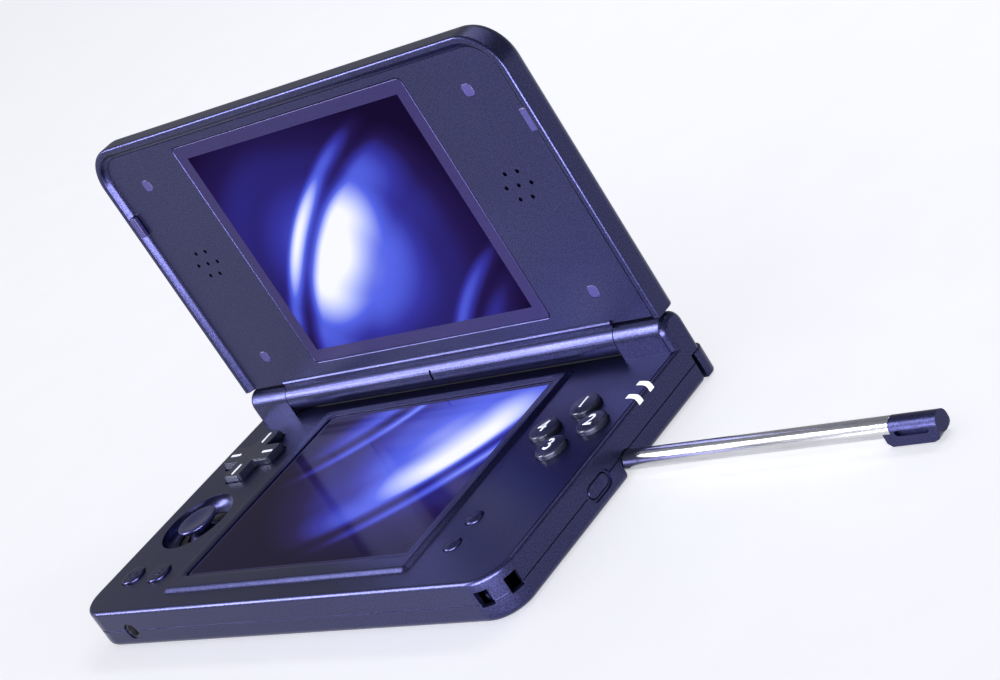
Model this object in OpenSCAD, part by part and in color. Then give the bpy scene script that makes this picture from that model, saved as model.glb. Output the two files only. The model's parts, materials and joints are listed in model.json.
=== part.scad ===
/* [Base housing] */
// Width of the console from side to side
body_w = 160; // [158:1:172]
// Depth from the front face to the back of the hinge
body_d = 90; // [90:0.5:98]
// Height of the base at its flat top
base_h = 12; // [12:0.2:14]
// Height of the lower housing, up to the case seam
seam_h = 6; // [5.6:0.1:6.4]
// Radius of the front corners seen from above
front_corner_r = 9; // [8:0.5:11]
// Radius of the rear corners seen from above
rear_corner_r = 2; // [1.6:0.2:3]
// Rounding of the top edge
top_edge_r = 1.1; // [0.6:0.1:1.3]
// Width of the bevel round the underside
bevel_w = 3.2; // [2:0.2:4]
// Height of the bevel round the underside
bevel_h = 2.2; // [1.4:0.2:2.6]
// Thickness of the side walls
wall_t = 1.6; // [1.4:0.1:1.8]
// Thickness of the floor
floor_t = 1.5; // [1.2:0.1:1.6]
// Thickness of the top skin
top_t = 1.5; // [1.3:0.1:1.7]
// Depth of the groove that marks the case seam
seam_groove = 0.3; // [0.2:0.1:0.5]

/* [Lid] */
// Opening angle of the lid as shown, from closed
lid_angle = 90; // [60:5:160]
// Thickness of the lid from its rim to its back
lid_t = 7.6; // [7.2:0.2:9]
// Gap between the rim and the base when the lid is closed
lid_gap = 1.4; // [1.2:0.1:1.8]
// Height of the rim above the inner panel
rim_h = 1.6; // [1.2:0.1:1.8]
// Radius of the two far corners of the lid
lid_corner_r = 11; // [9:0.5:13]
// Width of the rim at its crest
rim_w = 1.8; // [1.4:0.1:2.2]
// Width of the slope from the crest down to the panel
rim_slope = 1.6; // [1:0.1:2]
// Rounding of the back edges of the lid
lid_back_r = 3; // [2:0.2:3.4]
// Thickness of the back of the lid
lid_back_t = 1.4; // [1.2:0.1:1.6]
// Thickness of the inner panel
panel_t = 1.2; // [1:0.1:1.4]
// Gap between the knuckles and the lower edge of the lid lobes
lobe_gap = 0.6; // [0.4:0.1:1.6]
// Rounding of the rear corner of the lid lobes
lobe_r = 1.8; // [1:0.2:2.4]

/* [Hinge] */
// Radius of the hinge barrel and knuckles
barrel_r = 4.1; // [4:0.1:4.6]
// Gap between the barrel and the flat top of the base
barrel_gap = 0.1; // [0.1:0.1:0.6]
// Width of each base knuckle
knuckle_w = 16.5; // [15:0.5:18]
// Rounding of the outer end of each knuckle
knuckle_end_r = 2; // [1.4:0.1:2]
// Gap between the lid barrel and each knuckle
knuckle_gap = 0.25; // [0.2:0.05:0.5]
// Radius of the bore through the barrel
barrel_bore_r = 2.65; // [2.5:0.05:2.8]
// Radius of the hinge shaft
shaft_r = 1.5; // [1.2:0.1:1.7]
// Length of the friction clutch inside the barrel
clutch_l = 16; // [12:1:22]

/* [Screens] */
// Width of the picture area of both screens
picture_w = 83.8; // [80:0.2:85]
// Distance from the front face to the middle of the lower screen
lower_screen_y = 44.4; // [44:0.2:44.8]
// Height of the raised frame round the lower screen
frame_h = 1; // [0.8:0.1:1.4]
// Frame width beside the picture
frame_side = 5.9; // [5.6:0.1:6.4]
// Frame width in front of the picture
frame_front = 7.6; // [6.6:0.2:8]
// Frame width behind the picture
frame_back = 5.2; // [4.8:0.1:5.4]
// Border of the glass outside the picture
glass_border = 1.2; // [1:0.1:1.4]
// Thickness of the touch glass and of the upper window
glass_t = 0.9; // [0.7:0.1:1]
// Depth of the lower glass below the frame
glass_sink = 0.7; // [0.4:0.1:0.9]
// Thickness of each display module
display_t = 2.1; // [1.8:0.1:2.2]
// Border of the upper window outside the picture
window_border = 3.8; // [3:0.2:4.4]
// Distance from the hinge axis to the middle of the upper screen
upper_screen_s = 44.7; // [44:0.2:45.4]

/* [Controls] */
// Distance from the left side to the direction pad and the stick
left_column = 16.6; // [16:0.1:17]
// Distance from the right side to the middle of the face buttons
right_column = 16.1; // [16:0.1:16.6]
// Distance from the front face to the direction pad
pad_y = 62.7; // [61:0.2:64]
// Span of the direction pad
pad_span = 20; // [19:0.5:21]
// Width of an arm of the direction pad
pad_arm = 7; // [6:0.2:7.6]
// Height of the direction pad above the base
pad_rise = 2; // [1.6:0.1:2.2]
// Distance from the front face to the stick
stick_y = 36.5; // [35.5:0.2:37.5]
// Radius of the stick well
well_r = 11.2; // [11:0.1:11.6]
// Radius of the stick cap
stick_cap_r = 5.9; // [5.6:0.1:6.2]
// Height of the stick cap above the base
stick_rise = 0.6; // [0.4:0.1:0.8]
// Distance from the front face to the middle of the face buttons
face_y = 55.4; // [54:0.2:57]
// Distance from the middle of the diamond to each face button
face_spread = 7.85; // [7.6:0.05:8.1]
// Radius of a face button
face_r = 4.1; // [3.8:0.1:4.3]
// Height of a face button above the base
face_rise = 1.7; // [1.2:0.1:2]
// Distance from the right side to the start and select buttons
start_column = 24; // [23.4:0.2:24.6]
// Distance from the front face to the start button
start_y = 24; // [23.4:0.2:26]
// Distance from the front face to the select button
select_y = 14.7; // [14:0.1:15.4]
// Radius of the start and select buttons
start_r = 2.35; // [2:0.05:2.6]
// Distance from the front face to the two function buttons
function_y = 14.6; // [14:0.2:15.4]
// Distance between the two function buttons
function_pitch = 11.6; // [11:0.2:12]
// Radius of a function button
function_r = 3.5; // [3.2:0.1:3.7]
// Height of the small buttons above the base
small_rise = 0.75; // [0.5:0.05:1]
// Travel of every push button on the top
button_travel = 0.8; // [0.5:0.1:0.9]
// Gap between a button and its hole
button_gap = 0.2; // [0.15:0.05:0.3]

/* [Side and rear controls] */
// Distance from the front face to the power button
power_y = 40.2; // [39:0.2:41]
// Length of the power button
power_l = 7.6; // [7:0.2:8.4]
// Height of the power button
power_w = 3.4; // [3:0.1:3.6]
// Height of the power button and volume rocker above the underside
side_z = 5.6; // [5.4:0.1:5.8]
// Distance from the front face to the volume rocker
volume_y = 44; // [42:0.5:46]
// Length of the volume rocker
volume_l = 16; // [14:0.5:17]
// Height of the volume rocker
volume_w = 4; // [3.6:0.1:4.2]
// Length of a shoulder button along the width of the console
shoulder_l = 29; // [27:0.5:30]
// Height of a shoulder button
shoulder_h = 7.2; // [6.8:0.1:7.4]
// Depth of a shoulder button
shoulder_d = 5; // [4.8:0.1:5.2]
// Travel gap in front of a shoulder button
shoulder_gap = 1.5; // [1.4:0.1:1.7]

/* [Sockets and stylus] */
// Distance from the left side to the headphone socket
jack_x = 19.3; // [19:0.1:19.6]
// Radius of the headphone socket
jack_r = 1.8; // [1.75:0.05:1.9]
// Length of the headphone socket
jack_l = 9.5; // [8:0.5:9.5]
// Width of the mouth of the charging socket
charge_w = 9; // [8.6:0.1:9.4]
// Height of the mouth of the charging socket
charge_h = 3.2; // [3:0.1:3.3]
// Distance from the front face to the stylus hole
stylus_y = 51.7; // [51:0.1:52.4]
// Height of the stylus above the underside
stylus_z = 3.8; // [3.7:0.05:3.9]
// Radius of the stylus tube
stylus_r = 2.4; // [2.2:0.05:2.4]
// Length of the stylus from tip to head
stylus_l = 96; // [88:1:100]
// Length of the stylus head
head_l = 14; // [12:0.5:15]
// How far the stylus is drawn out as shown
stylus_out = 88; // [0:4:88]
// Gap round the stylus in its hole
stylus_gap = 0.25; // [0.2:0.05:0.3]

/* [Hidden] */
$fn = 64;
eps = 0.01;
indigo = "#33305a";
dark_key = "#23213a";

// Working heights of the base
ceiling_z = base_h - top_t;
board_t = 1;
button_room = 2.9;
board_z1 = ceiling_z - button_room;
board_z0 = board_z1 - board_t;
seat = 0.05;

// Hinge axis, closed gap and the planes of the lid measured inwards from the axis
hinge_y = body_d - barrel_r;
hinge_z = base_h + barrel_r + barrel_gap;
crest_w = barrel_r + barrel_gap - lid_gap;
panel_w = crest_w - rim_h;
back_w = crest_w - lid_t;
cavity_w = back_w + lid_back_t;
lid_len = hinge_y;
lid_foot = barrel_r + lobe_gap;
knuckle_x = body_w / 2 - knuckle_w;
barrel_x = knuckle_x - knuckle_gap;

// Screen stack
picture_h = picture_w * 3 / 4;
frame_top = base_h + frame_h;
glass_z1 = frame_top - glass_sink;
glass_z0 = glass_z1 - glass_t;
display_z1 = glass_z0 - seat;
display_border = 2.2;
glass_clear = 0.1;
inner_bevel = 1.2;
glass_lip = glass_sink / 2;
frame_edge = 2;

// Places of the controls, from the middle of the footprint
column_x = -(body_w / 2 - left_column);
face_x = body_w / 2 - right_column;
start_x = body_w / 2 - start_column;

// Shoulder recess
shoulder_x = body_w / 2 - shoulder_l - 1;
shoulder_y = body_d - shoulder_d + 1.9;
recess_y = shoulder_y - shoulder_gap;
recess_z = shoulder_h + 0.8;
shoulder_pin_x = shoulder_x + 3;
shoulder_pin_y = shoulder_y + 1.2;
shoulder_pin_r = 0.7;
ear_t = 1.2;
ear_l = 6;
nub_x = body_w / 2 - 10;
nub_z0 = board_z0 - 2.2;
nub_z1 = board_z0 - 0.6;

// Screw places of the base and of the lid
screw_in = 8;
screw_y = 6.5;
cover_x = body_w / 2 - 16.2;
cover_far = 72.1;
cover_near = 14.3;

// Distance behind the front face as a place on the Y axis
function fy(d) = d - body_d / 2;

// Quarter arc of an edge as insets and heights, low edge first
function low_arc(w, h, z, n = 5) =
    [for (i = [0:n]) [w * (1 - sin(90 * i / n)), z + h * (1 - cos(90 * i / n))]];
function high_arc(w, h, z, n = 4) =
    [for (i = [0:n]) [w * (1 - cos(90 * i / n)), z - h + h * sin(90 * i / n)]];

// Soft slope of an edge, level at its foot and at its crest
function soft_slope(w, h, z, n = 6) =
    [for (i = [0:n]) [w * i / n, z - h * (1 + cos(180 * i / n)) / 2]];

// Flat outline drawn as (y, z) and run along X
module along_x(x0, x1) {
    translate([x0, 0, 0]) rotate([90, 0, 90]) linear_extrude(x1 - x0) children();
}

// Flat outline drawn as (x, z) and run along Y
module along_y(y0, y1) {
    translate([0, y1, 0]) rotate([90, 0, 0]) linear_extrude(y1 - y0) children();
}

// Flat outline drawn as (x, y) and run along Z
module along_z(z0, z1) {
    translate([0, 0, z0]) linear_extrude(z1 - z0) children();
}

module block(x0, x1, y0, y1, z0, z1) {
    translate([x0, y0, z0]) cube([x1 - x0, y1 - y0, z1 - z0]);
}

module post(x, y, z0, z1, r) {
    translate([x, y, z0]) cylinder(h = z1 - z0, r = r);
}

// Bar with round ends, drawn flat and centred
module racetrack(l, w) {
    square([l - w, w], center = true);
    for (s = [-1, 1]) translate([s * (l - w) / 2, 0]) circle(d = w);
}

module round_rect(w, d, r) {
    square([w - 2 * r, d], center = true);
    square([w, d - 2 * r], center = true);
    for (sx = [-1, 1], sy = [-1, 1]) translate([sx * (w / 2 - r), sy * (d / 2 - r)]) circle(r = r);
}

// Moulded slab, Y from 0 to d, whose edges follow insets and heights listed from low to high
module moulded(w, d, r0, r1, edge, far_edge) {
    last = len(edge) - 1;
    z0 = edge[0][1];
    z1 = edge[last][1];
    along_y(r0, d - r1)
        polygon(concat([for (p = edge) [w / 2 - p[0], p[1]]],
                       [for (i = [last:-1:0]) [edge[i][0] - w / 2, edge[i][1]]]));
    along_x(r0 - w / 2, w / 2 - r0)
        polygon(concat(edge, [[d / 2, z1], [d / 2, z0]]));
    along_x(r1 - w / 2, w / 2 - r1)
        polygon(concat([for (p = far_edge) [d - p[0], p[1]]], [[d / 2, z1], [d / 2, z0]]));
    for (s = [-1, 1]) {
        translate([s * (w / 2 - r0), r0, 0])
            rotate_extrude() polygon(concat([[0, z0]], [for (p = edge) [r0 - p[0], p[1]]], [[0, z1]]));
        translate([s * (w / 2 - r1), d - r1, 0])
            rotate_extrude() polygon(concat([[0, z0]], [for (p = far_edge) [r1 - p[0], p[1]]], [[0, z1]]));
    }
}

// Straight-sided version of the same plan
module plan_slab(w, d, r0, r1, z0, z1) {
    moulded(w, d, r0, r1, [[0, z0], [0, z1]], [[0, z0], [0, z1]]);
}

// Outer form of the base, grown outwards by the given amount
module base_form(grow = 0) {
    edge = concat(low_arc(bevel_w, bevel_h, 0), high_arc(top_edge_r, top_edge_r, base_h));
    rear = concat(low_arc(1, 1, 0), high_arc(top_edge_r, top_edge_r, base_h));
    translate([0, -body_d / 2 - grow, 0])
        moulded(body_w + 2 * grow, body_d + 2 * grow, front_corner_r + grow, rear_corner_r + grow, edge, rear);
}

// Hollow inside the base walls, stepped in before the shoulder recesses
module base_hollow(z0, z1) {
    inner_w = body_w - 2 * wall_t;
    side_d = recess_y - wall_t - wall_t;
    translate([0, fy(wall_t), 0])
        plan_slab(inner_w, side_d, front_corner_r - wall_t, 0.8, z0, z1);
    centre_w = 2 * (shoulder_x - wall_t);
    block(-centre_w / 2, centre_w / 2, fy(wall_t + side_d) - 2, fy(body_d - wall_t), z0, z1);
}

// Cuts shared by both halves of the base
module shoulder_recess(z0, z1) {
    for (s = [-1, 1]) scale([s, 1, 1])
        block(shoulder_x, body_w / 2 + 1, fy(recess_y), fy(body_d) + 1, z0, z1);
}

module shoulder_nub_holes() {
    for (s = [-1, 1]) scale([s, 1, 1])
        block(nub_x - 1.6, nub_x + 1.6, fy(recess_y) - 3, fy(recess_y) + eps, nub_z0 - 0.4, nub_z1 + 0.4);
}

module side_track(x0, x1, y, l, w) {
    along_x(x0, x1) translate([fy(y), side_z]) racetrack(l, w);
}

module power_hole() {
    side_track(body_w / 2 - 3, body_w / 2 + 1, power_y, power_l + 2 * button_gap, power_w + 2 * button_gap);
    side_track(body_w / 2 - 0.5, body_w / 2 + 1, power_y, power_l + 1.9, power_w + 1.7);
}

module volume_hole() {
    side_track(-body_w / 2 - 1, -body_w / 2 + 3, volume_y, volume_l + 0.6, volume_w + 0.5);
}

module jack_hole() {
    along_y(-body_d / 2 - 1, fy(wall_t) + 0.5)
        translate([jack_x - body_w / 2, seam_h - 0.6]) circle(r = jack_r + 0.75);
}

module charge_hole() {
    along_y(fy(body_d - wall_t) - 0.5, body_d / 2 + 1)
        translate([0, board_z0 - charge_h / 2 - 0.35]) racetrack(charge_w + 0.9, charge_h + 0.9);
}

// Two slots in the front right corner, joined behind the strap post
strap_z0 = 5;
strap_z1 = 9.2;
strap_in = 2.2;
module strap_passage() {
    cx = body_w / 2 - front_corner_r;
    cy = fy(front_corner_r);
    r = front_corner_r;
    along_z(strap_z0, strap_z1) translate([cx, cy]) {
        intersection() {
            difference() {
                circle(r = r - strap_in + 0.4);
                circle(r = r - strap_in - 1.5);
            }
            polygon([[0, 0], [r * cos(-4), r * sin(-4)], [r * 1.5, -r * 1.5], [r * cos(-86), r * sin(-86)]]);
        }
        for (a = [-70, -20]) rotate(a) translate([r - strap_in, -1.8]) square([strap_in + 1, 3.6]);
    }
}

// Hole for the stylus and the pocket for its head, open to the underside
module stylus_hole() {
    r = stylus_r + stylus_gap;
    along_x(body_w / 2 - stylus_l - 1, body_w / 2 + 1) translate([fy(stylus_y), stylus_z]) circle(r = r);
    block(body_w / 2 - head_l - 0.4, body_w / 2 + 1, fy(stylus_y) - r, fy(stylus_y) + r, -1, stylus_z);
}

// Raised frame round the lower screen
frame_y0 = lower_screen_y - picture_h / 2 - frame_front;
frame_y1 = lower_screen_y + picture_h / 2 + frame_back;
module screen_frame() {
    w = picture_w + 2 * frame_side;
    edge = concat([[0, base_h - 1]], soft_slope(frame_edge, frame_h, frame_top));
    translate([0, fy(frame_y0), 0]) moulded(w, frame_y1 - frame_y0, 2.2, 2.2, edge, edge);
}

module screen_opening() {
    gw = picture_w + 2 * (glass_border + glass_clear);
    gd = picture_h + 2 * (glass_border + glass_clear);
    lip = [[inner_bevel, glass_z1 - eps], [inner_bevel, glass_z1 + glass_lip]];
    slope = concat(lip, [[0, frame_top], [0, frame_top + 1]]);
    translate([0, fy(lower_screen_y) - gd / 2, 0]) {
        plan_slab(gw, gd, 0.6, 0.6, glass_z0 - 1, glass_z1 + eps);
        translate([0, -inner_bevel, 0])
            moulded(gw + 2 * inner_bevel, gd + 2 * inner_bevel, 3, 3, slope, slope);
    }
    dw = picture_w + 2 * display_border + 0.3;
    dd = picture_h + 2 * display_border + 0.3;
    block(-dw / 2, dw / 2, fy(lower_screen_y) - dd / 2, fy(lower_screen_y) + dd / 2, ceiling_z - 1, glass_z0);
}

// Cross of the direction pad, drawn flat
module cross(span, arm) {
    round_rect(span, arm, 0.9);
    round_rect(arm, span, 0.9);
}

// Bowl of the stick: outline of its surface as radius and height
well_floor_z = ceiling_z - 1.9;
well_open_r = 8;
module well_outline(grow) {
    arc = [for (i = [0:6]) [well_open_r + (well_r - well_open_r) * sin(15 * i),
                            well_floor_z + (base_h - well_floor_z) * (1 - cos(15 * i))]];
    polygon(concat([[0, well_floor_z - grow]], [[well_open_r + grow, well_floor_z - grow]],
                   [for (p = arc) [p[0] + grow, p[1]]], [[0, base_h]]));
}

module bowl_solid() {
    translate([column_x, fy(stick_y), 0]) intersection() {
        rotate_extrude() well_outline(1);
        translate([0, 0, well_floor_z - 2]) cylinder(h = base_h - 0.4 - well_floor_z + 2, r = well_r + 3);
    }
}

module bowl_cut() {
    translate([column_x, fy(stick_y), 0]) {
        rotate_extrude() well_outline(0);
        translate([0, 0, well_floor_z - 3]) cylinder(h = 3.5, r = well_open_r);
        translate([0, 0, base_h - eps]) cylinder(h = 2, r = well_r);
    }
}

face_spots = [for (a = [90, 0, 270, 180]) [face_x + face_spread * cos(a), face_y + face_spread * sin(a)]];
function_spots = [for (s = [-1, 1]) [column_x + s * function_pitch / 2, function_y]];
start_spots = [[start_x, start_y], [start_x, select_y]];

module button_holes() {
    for (p = face_spots) post(p[0], fy(p[1]), ceiling_z - 1, base_h + 1, face_r + button_gap);
    for (p = function_spots) post(p[0], fy(p[1]), ceiling_z - 1, base_h + 1, function_r + button_gap);
    for (p = start_spots) post(p[0], fy(p[1]), ceiling_z - 1, base_h + 1, start_r + button_gap);
    along_z(ceiling_z - 1, base_h + 1) translate([column_x, fy(pad_y)]) cross(pad_span + 0.9, pad_arm + 0.9);
}

// Plan of the two curved indicator lights
light_y = 65.5;
light_pitch = 5;
light_r = 9;
light_w = 1.6;
module light_plan(gap) {
    for (i = [0, 1]) translate([body_w / 2 - 4.6, fy(light_y - light_r + i * light_pitch)])
        intersection() {
            difference() {
                circle(r = light_r + light_w / 2 - gap);
                circle(r = light_r - light_w / 2 + gap);
            }
            translate([gap, 0]) square([8, light_r + 4]);
        }
}

// Hinge knuckle: round top, flat chin in front, outer end rounded over
module knuckle() {
    r = knuckle_end_r;
    x1 = body_w / 2 - r;
    intersection() {
        translate([0, fy(hinge_y), hinge_z]) rotate([0, 90, 0]) rotate_extrude() {
            translate([0, knuckle_x]) square([barrel_r, knuckle_w - r]);
            translate([0, knuckle_x]) square([barrel_r - r, knuckle_w]);
            translate([barrel_r - r, x1]) circle(r = r);
        }
        block(knuckle_x - 1, body_w / 2 + 1, fy(hinge_y) - 2 * barrel_r, fy(hinge_y) + 2 * barrel_r,
              hinge_z, hinge_z + 2 * barrel_r);
    }
    along_z(ceiling_z, hinge_z) {
        translate([knuckle_x, fy(hinge_y) - barrel_r]) square([knuckle_w - r, 2 * barrel_r]);
        translate([knuckle_x, fy(hinge_y) - barrel_r + r]) square([knuckle_w, 2 * (barrel_r - r)]);
        for (e = [-1, 1]) translate([x1, fy(hinge_y) + e * (barrel_r - r)]) circle(r = r);
    }
}

// Way for the display ribbon from the right knuckle down to the board
ribbon_x0 = body_w / 2 - 8;
ribbon_w = 4;
ribbon_t = 0.3;
ribbon_foot = 5;
roll_r = 1.9;
module ribbon_way() {
    block(ribbon_x0 - 0.5, ribbon_x0 + ribbon_w + 0.5, fy(hinge_y) - roll_r - 0.8,
          fy(hinge_y) - roll_r + ribbon_t + 0.2, board_z1 - 0.1, hinge_z);
}

shaft_out = 12;
sleeve_out = 10;
ribbon_meet_x = barrel_x - sleeve_out - 1;
module hinge_bores() {
    along_x(-body_w / 2 + 3, -knuckle_x + 1) translate([fy(hinge_y), hinge_z]) circle(r = shaft_r + 0.02);
    along_x(knuckle_x - 1, body_w / 2 - 3) translate([fy(hinge_y), hinge_z]) circle(r = barrel_bore_r);
}

// Screws that close the base, with their heads sunk in the underside
head_z0 = 0.75;
head_t = 0.93;
head_r = 1.9;
screw_r = 1;
head_seat = head_z0 + head_t + 0.02;
module base_screw_spots() {
    for (s = [-1, 1]) translate([s * (body_w / 2 - screw_in), fy(screw_y), 0]) children();
}

// Screws that hold the board, beside the small buttons
contact_w = 7;
board_head_r = 1.5;
board_head_t = 0.78;
board_screw_r = 0.7;
board_screw_z = 2.8;
board_post_r = 2;
board_screw_gap = 1.1;
board_screw_x = start_x - contact_w / 2 - board_head_r - board_screw_gap;
board_screw_front = 12.5;
board_screw_rear = 12;
board_spots = [for (s = [-1, 1], y = [board_screw_front, body_d - board_screw_rear]) [s * board_screw_x, y]];
volume_pin_x = -body_w / 2 + 3.4;
volume_pin_r = 0.6;
volume_hub_h = volume_w + 0.7;

module base_top_shell() color(indigo) {
    difference() {
        union() {
            difference() {
                union() {
                    intersection() {
                        base_form();
                        block(-body_w, body_w, -body_d, body_d, seam_h, base_h + 1);
                    }
                    screen_frame();
                    for (s = [-1, 1]) scale([s, 1, 1]) knuckle();
                }
                base_hollow(seam_h - 1, ceiling_z);
            }
            bowl_solid();
            base_screw_spots() post(0, 0, seam_h, ceiling_z + eps, screw_r + 1.4);
            post(volume_pin_x, fy(volume_y), side_z + volume_hub_h / 2 + 0.2, ceiling_z + eps, 1.5);
        }
        bowl_cut();
        screen_opening();
        button_holes();
        along_z(ceiling_z - 0.1, base_h + 1) light_plan(0);
        shoulder_recess(-1, recess_z);
        shoulder_nub_holes();
        power_hole();
        volume_hole();
        jack_hole();
        charge_hole();
        strap_passage();
        along_x(body_w / 2 - 4, body_w / 2 + 1)
            translate([fy(stylus_y), stylus_z]) circle(r = stylus_r + stylus_gap);
        hinge_bores();
        ribbon_way();
        along_x(-knuckle_x, knuckle_x) translate([fy(hinge_y), hinge_z]) circle(r = barrel_r + 0.45);
        base_screw_spots() post(0, 0, seam_h - 1, ceiling_z - 0.6, screw_r + 0.02);
        for (s = [-1, 1])
            post(s * shoulder_pin_x, fy(shoulder_pin_y), recess_z - 1, recess_z + 2.2, shoulder_pin_r + 0.02);
        post(volume_pin_x, fy(volume_y), side_z, ceiling_z - 0.6, volume_pin_r + 0.02);
    }
}

module base_bottom_shell() color(indigo) {
    difference() {
        union() {
            difference() {
                union() {
                    intersection() {
                        base_form();
                        block(-body_w, body_w, -body_d, body_d, -1, seam_h - seam_groove);
                    }
                    intersection() {
                        base_form(-seam_groove);
                        block(-body_w, body_w, -body_d, body_d, seam_h - seam_groove - 1, seam_h);
                    }
                }
                base_hollow(floor_t, seam_h + 1);
            }
            base_screw_spots() post(0, 0, floor_t - eps, seam_h, head_r + 1.1);
            for (p = board_spots) post(p[0], fy(p[1]), floor_t - eps, board_z0, board_post_r);
            post(volume_pin_x, fy(volume_y), floor_t - eps, side_z - volume_hub_h / 2 - 0.2, 1.5);
        }
        stylus_hole();
        shoulder_recess(ear_t, seam_h + 1);
        for (s = [-1, 1]) scale([s, 1, 1])
            block(shoulder_x + ear_l, body_w / 2 + 1, fy(recess_y), fy(body_d) + 1, -1, ear_t + 1);
        for (s = [-1, 1]) post(s * shoulder_pin_x, fy(shoulder_pin_y), 0.3, ear_t + 1, shoulder_pin_r + 0.02);
        shoulder_nub_holes();
        power_hole();
        volume_hole();
        jack_hole();
        charge_hole();
        strap_passage();
        base_screw_spots() {
            post(0, 0, -1, head_seat, head_r + 0.3);
            post(0, 0, 1, seam_h + 1, screw_r + 0.1);
        }
        for (p = board_spots) post(p[0], fy(p[1]), board_screw_z - 0.2, board_z0 + 1, board_screw_r + 0.02);
        post(volume_pin_x, fy(volume_y), floor_t + 0.1, seam_h, volume_pin_r + 0.02);
        post(body_w / 2 - 45, fy(4.4), -1, floor_t + 1, 0.5);
    }
}

// Moulded channel that guides the stylus, open at the top under the board
channel_z = board_z0 - 0.1;
trough_wall = 1.2;
module stylus_channel() color("#2c2c30") {
    half = stylus_r + trough_wall;
    x0 = body_w / 2 - stylus_l - 1;
    difference() {
        block(x0 - 1, body_w / 2 - wall_t - 0.1, fy(stylus_y) - half, fy(stylus_y) + half,
              floor_t + seat, channel_z);
        stylus_hole();
        block(x0, body_w / 2, fy(stylus_y) - stylus_r - stylus_gap, fy(stylus_y) + stylus_r + stylus_gap,
              stylus_z, channel_z + 1);
    }
}

module lower_display() color("#101018") {
    w = picture_w + 2 * display_border;
    d = picture_h + 2 * display_border;
    block(-w / 2, w / 2, fy(lower_screen_y) - d / 2, fy(lower_screen_y) + d / 2,
          display_z1 - display_t, display_z1);
}

module touch_panel() color("#2a2468") {
    w = picture_w + 2 * glass_border;
    d = picture_h + 2 * glass_border;
    translate([0, fy(lower_screen_y) - d / 2, 0]) plan_slab(w, d, 0.5, 0.5, glass_z0, glass_z1);
}

// Room round the headphone socket, cut from the board and the mat beside it
module jack_clearance(z0, z1) {
    x = jack_x - body_w / 2;
    block(x - 3.4, x + 3.4, fy(0), fy(wall_t + jack_l) + 0.6, z0, z1);
}

board_front = 10;
board_side = 6;
chip_y = stylus_y + stylus_r + trough_wall + 0.7;
chip_w = 28;
chip_d = 16;
memory_w = 10;
module main_board() color("#1f5a3a") {
    half = body_w / 2 - board_side;
    difference() {
        union() {
            block(-half, half, fy(board_front), fy(recess_y - 2 * wall_t) - 0.6, board_z0, board_z1);
            block(-20, 20, fy(recess_y) - 6, fy(body_d - wall_t) - 0.6, board_z0, board_z1);
        }
        post(column_x, fy(stick_y), board_z0 - 1, board_z1 + 1, dome_r + 0.3);
        jack_clearance(board_z0 - 1, board_z1 + 1);
        for (p = board_spots) post(p[0], fy(p[1]), board_z0 - 1, board_z1 + 1, board_screw_r + 0.15);
        post(volume_pin_x, fy(volume_y), board_z0 - 1, board_z1 + 1, 4.2);
    }
    block(-chip_w / 2, chip_w / 2, fy(chip_y), fy(chip_y + chip_d), board_z0 - 1.4, board_z0);
    block(chip_w / 2 + 8, chip_w / 2 + 8 + memory_w, fy(chip_y + 2), fy(chip_y + 2 + memory_w),
          board_z0 - 1.1, board_z0);
}

battery_y = board_screw_front + 0.5;
battery_gap = 3;
module battery() color("#3b3f4a") {
    w = 2 * (board_screw_x - board_post_r - battery_gap);
    d = stylus_y - stylus_r - trough_wall - battery_gap - 0.1 - battery_y;
    translate([0, fy(battery_y), 0]) plan_slab(w, d, 1, 1, floor_t + seat, board_z0 - 0.2);
}

// Rubber contact mats: a thin sheet with a raised dome under each contact
mat_t = 0.25;
dome_h = 0.5;
module mat(w, d, spots) {
    along_z(board_z1 + 0.02, board_z1 + mat_t) round_rect(w, d, 2);
    for (p = spots)
        translate([p[0], p[1], board_z1 + mat_t - eps]) cylinder(h = dome_h - mat_t, r1 = 1.6, r2 = 1.1);
}

module dpad_mat() color("#8b8f96") {
    reach = pad_span / 2 - 3;
    translate([column_x, fy(pad_y), 0])
        mat(pad_span + 2, pad_span + 2, [for (a = [0:90:270]) [reach * cos(a), reach * sin(a)]]);
}

module face_button_mat() color("#8b8f96") {
    side = 2 * face_spread + 8;
    translate([face_x, fy(face_y), 0]) mat(side, side, [for (p = face_spots) [p[0] - face_x, p[1] - face_y]]);
}

module start_select_mat() color("#8b8f96") {
    mid = (start_y + select_y) / 2;
    translate([start_x, fy(mid), 0])
        mat(contact_w, start_y - select_y + contact_w, [for (p = start_spots) [0, p[1] - mid]]);
}

module function_mat() color("#8b8f96") {
    spots = [for (p = function_spots) [p[0] - column_x, 0]];
    difference() {
        translate([column_x, fy(function_y), 0]) mat(function_pitch + contact_w, contact_w, spots);
        jack_clearance(board_z1 - 1, board_z1 + 2);
    }
}

// Thumbstick module: open box with the gimbal ring and the stick stem inside
pivot_z = 4.1;
box_w = 15;
ring_r = 5;
ring_hole_r = 3.1;
ring_t = 1.5;
trunnion_r = 0.5;
trunnion_gap = 0.06;
module thumbstick_module() color("#4a4d55") {
    inner = box_w - 2.2;
    translate([column_x, fy(stick_y), 0]) difference() {
        block(-box_w / 2, box_w / 2, -box_w / 2, box_w / 2, floor_t + seat, board_z0 - 0.1);
        block(-inner / 2, inner / 2, -inner / 2, inner / 2, floor_t + 0.4, board_z0 + 1);
        along_x(-box_w, box_w) translate([0, pivot_z]) circle(r = trunnion_r + trunnion_gap);
    }
}

// Foam ring that closes the gap between the well and the board
module stick_dust_ring() color("#141418") {
    translate([column_x, fy(stick_y), board_z1 + 0.02]) difference() {
        cylinder(h = 0.6, r = well_open_r - 0.1);
        translate([0, 0, -1]) cylinder(h = 3, r = dome_r - 0.6);
    }
}

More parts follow.
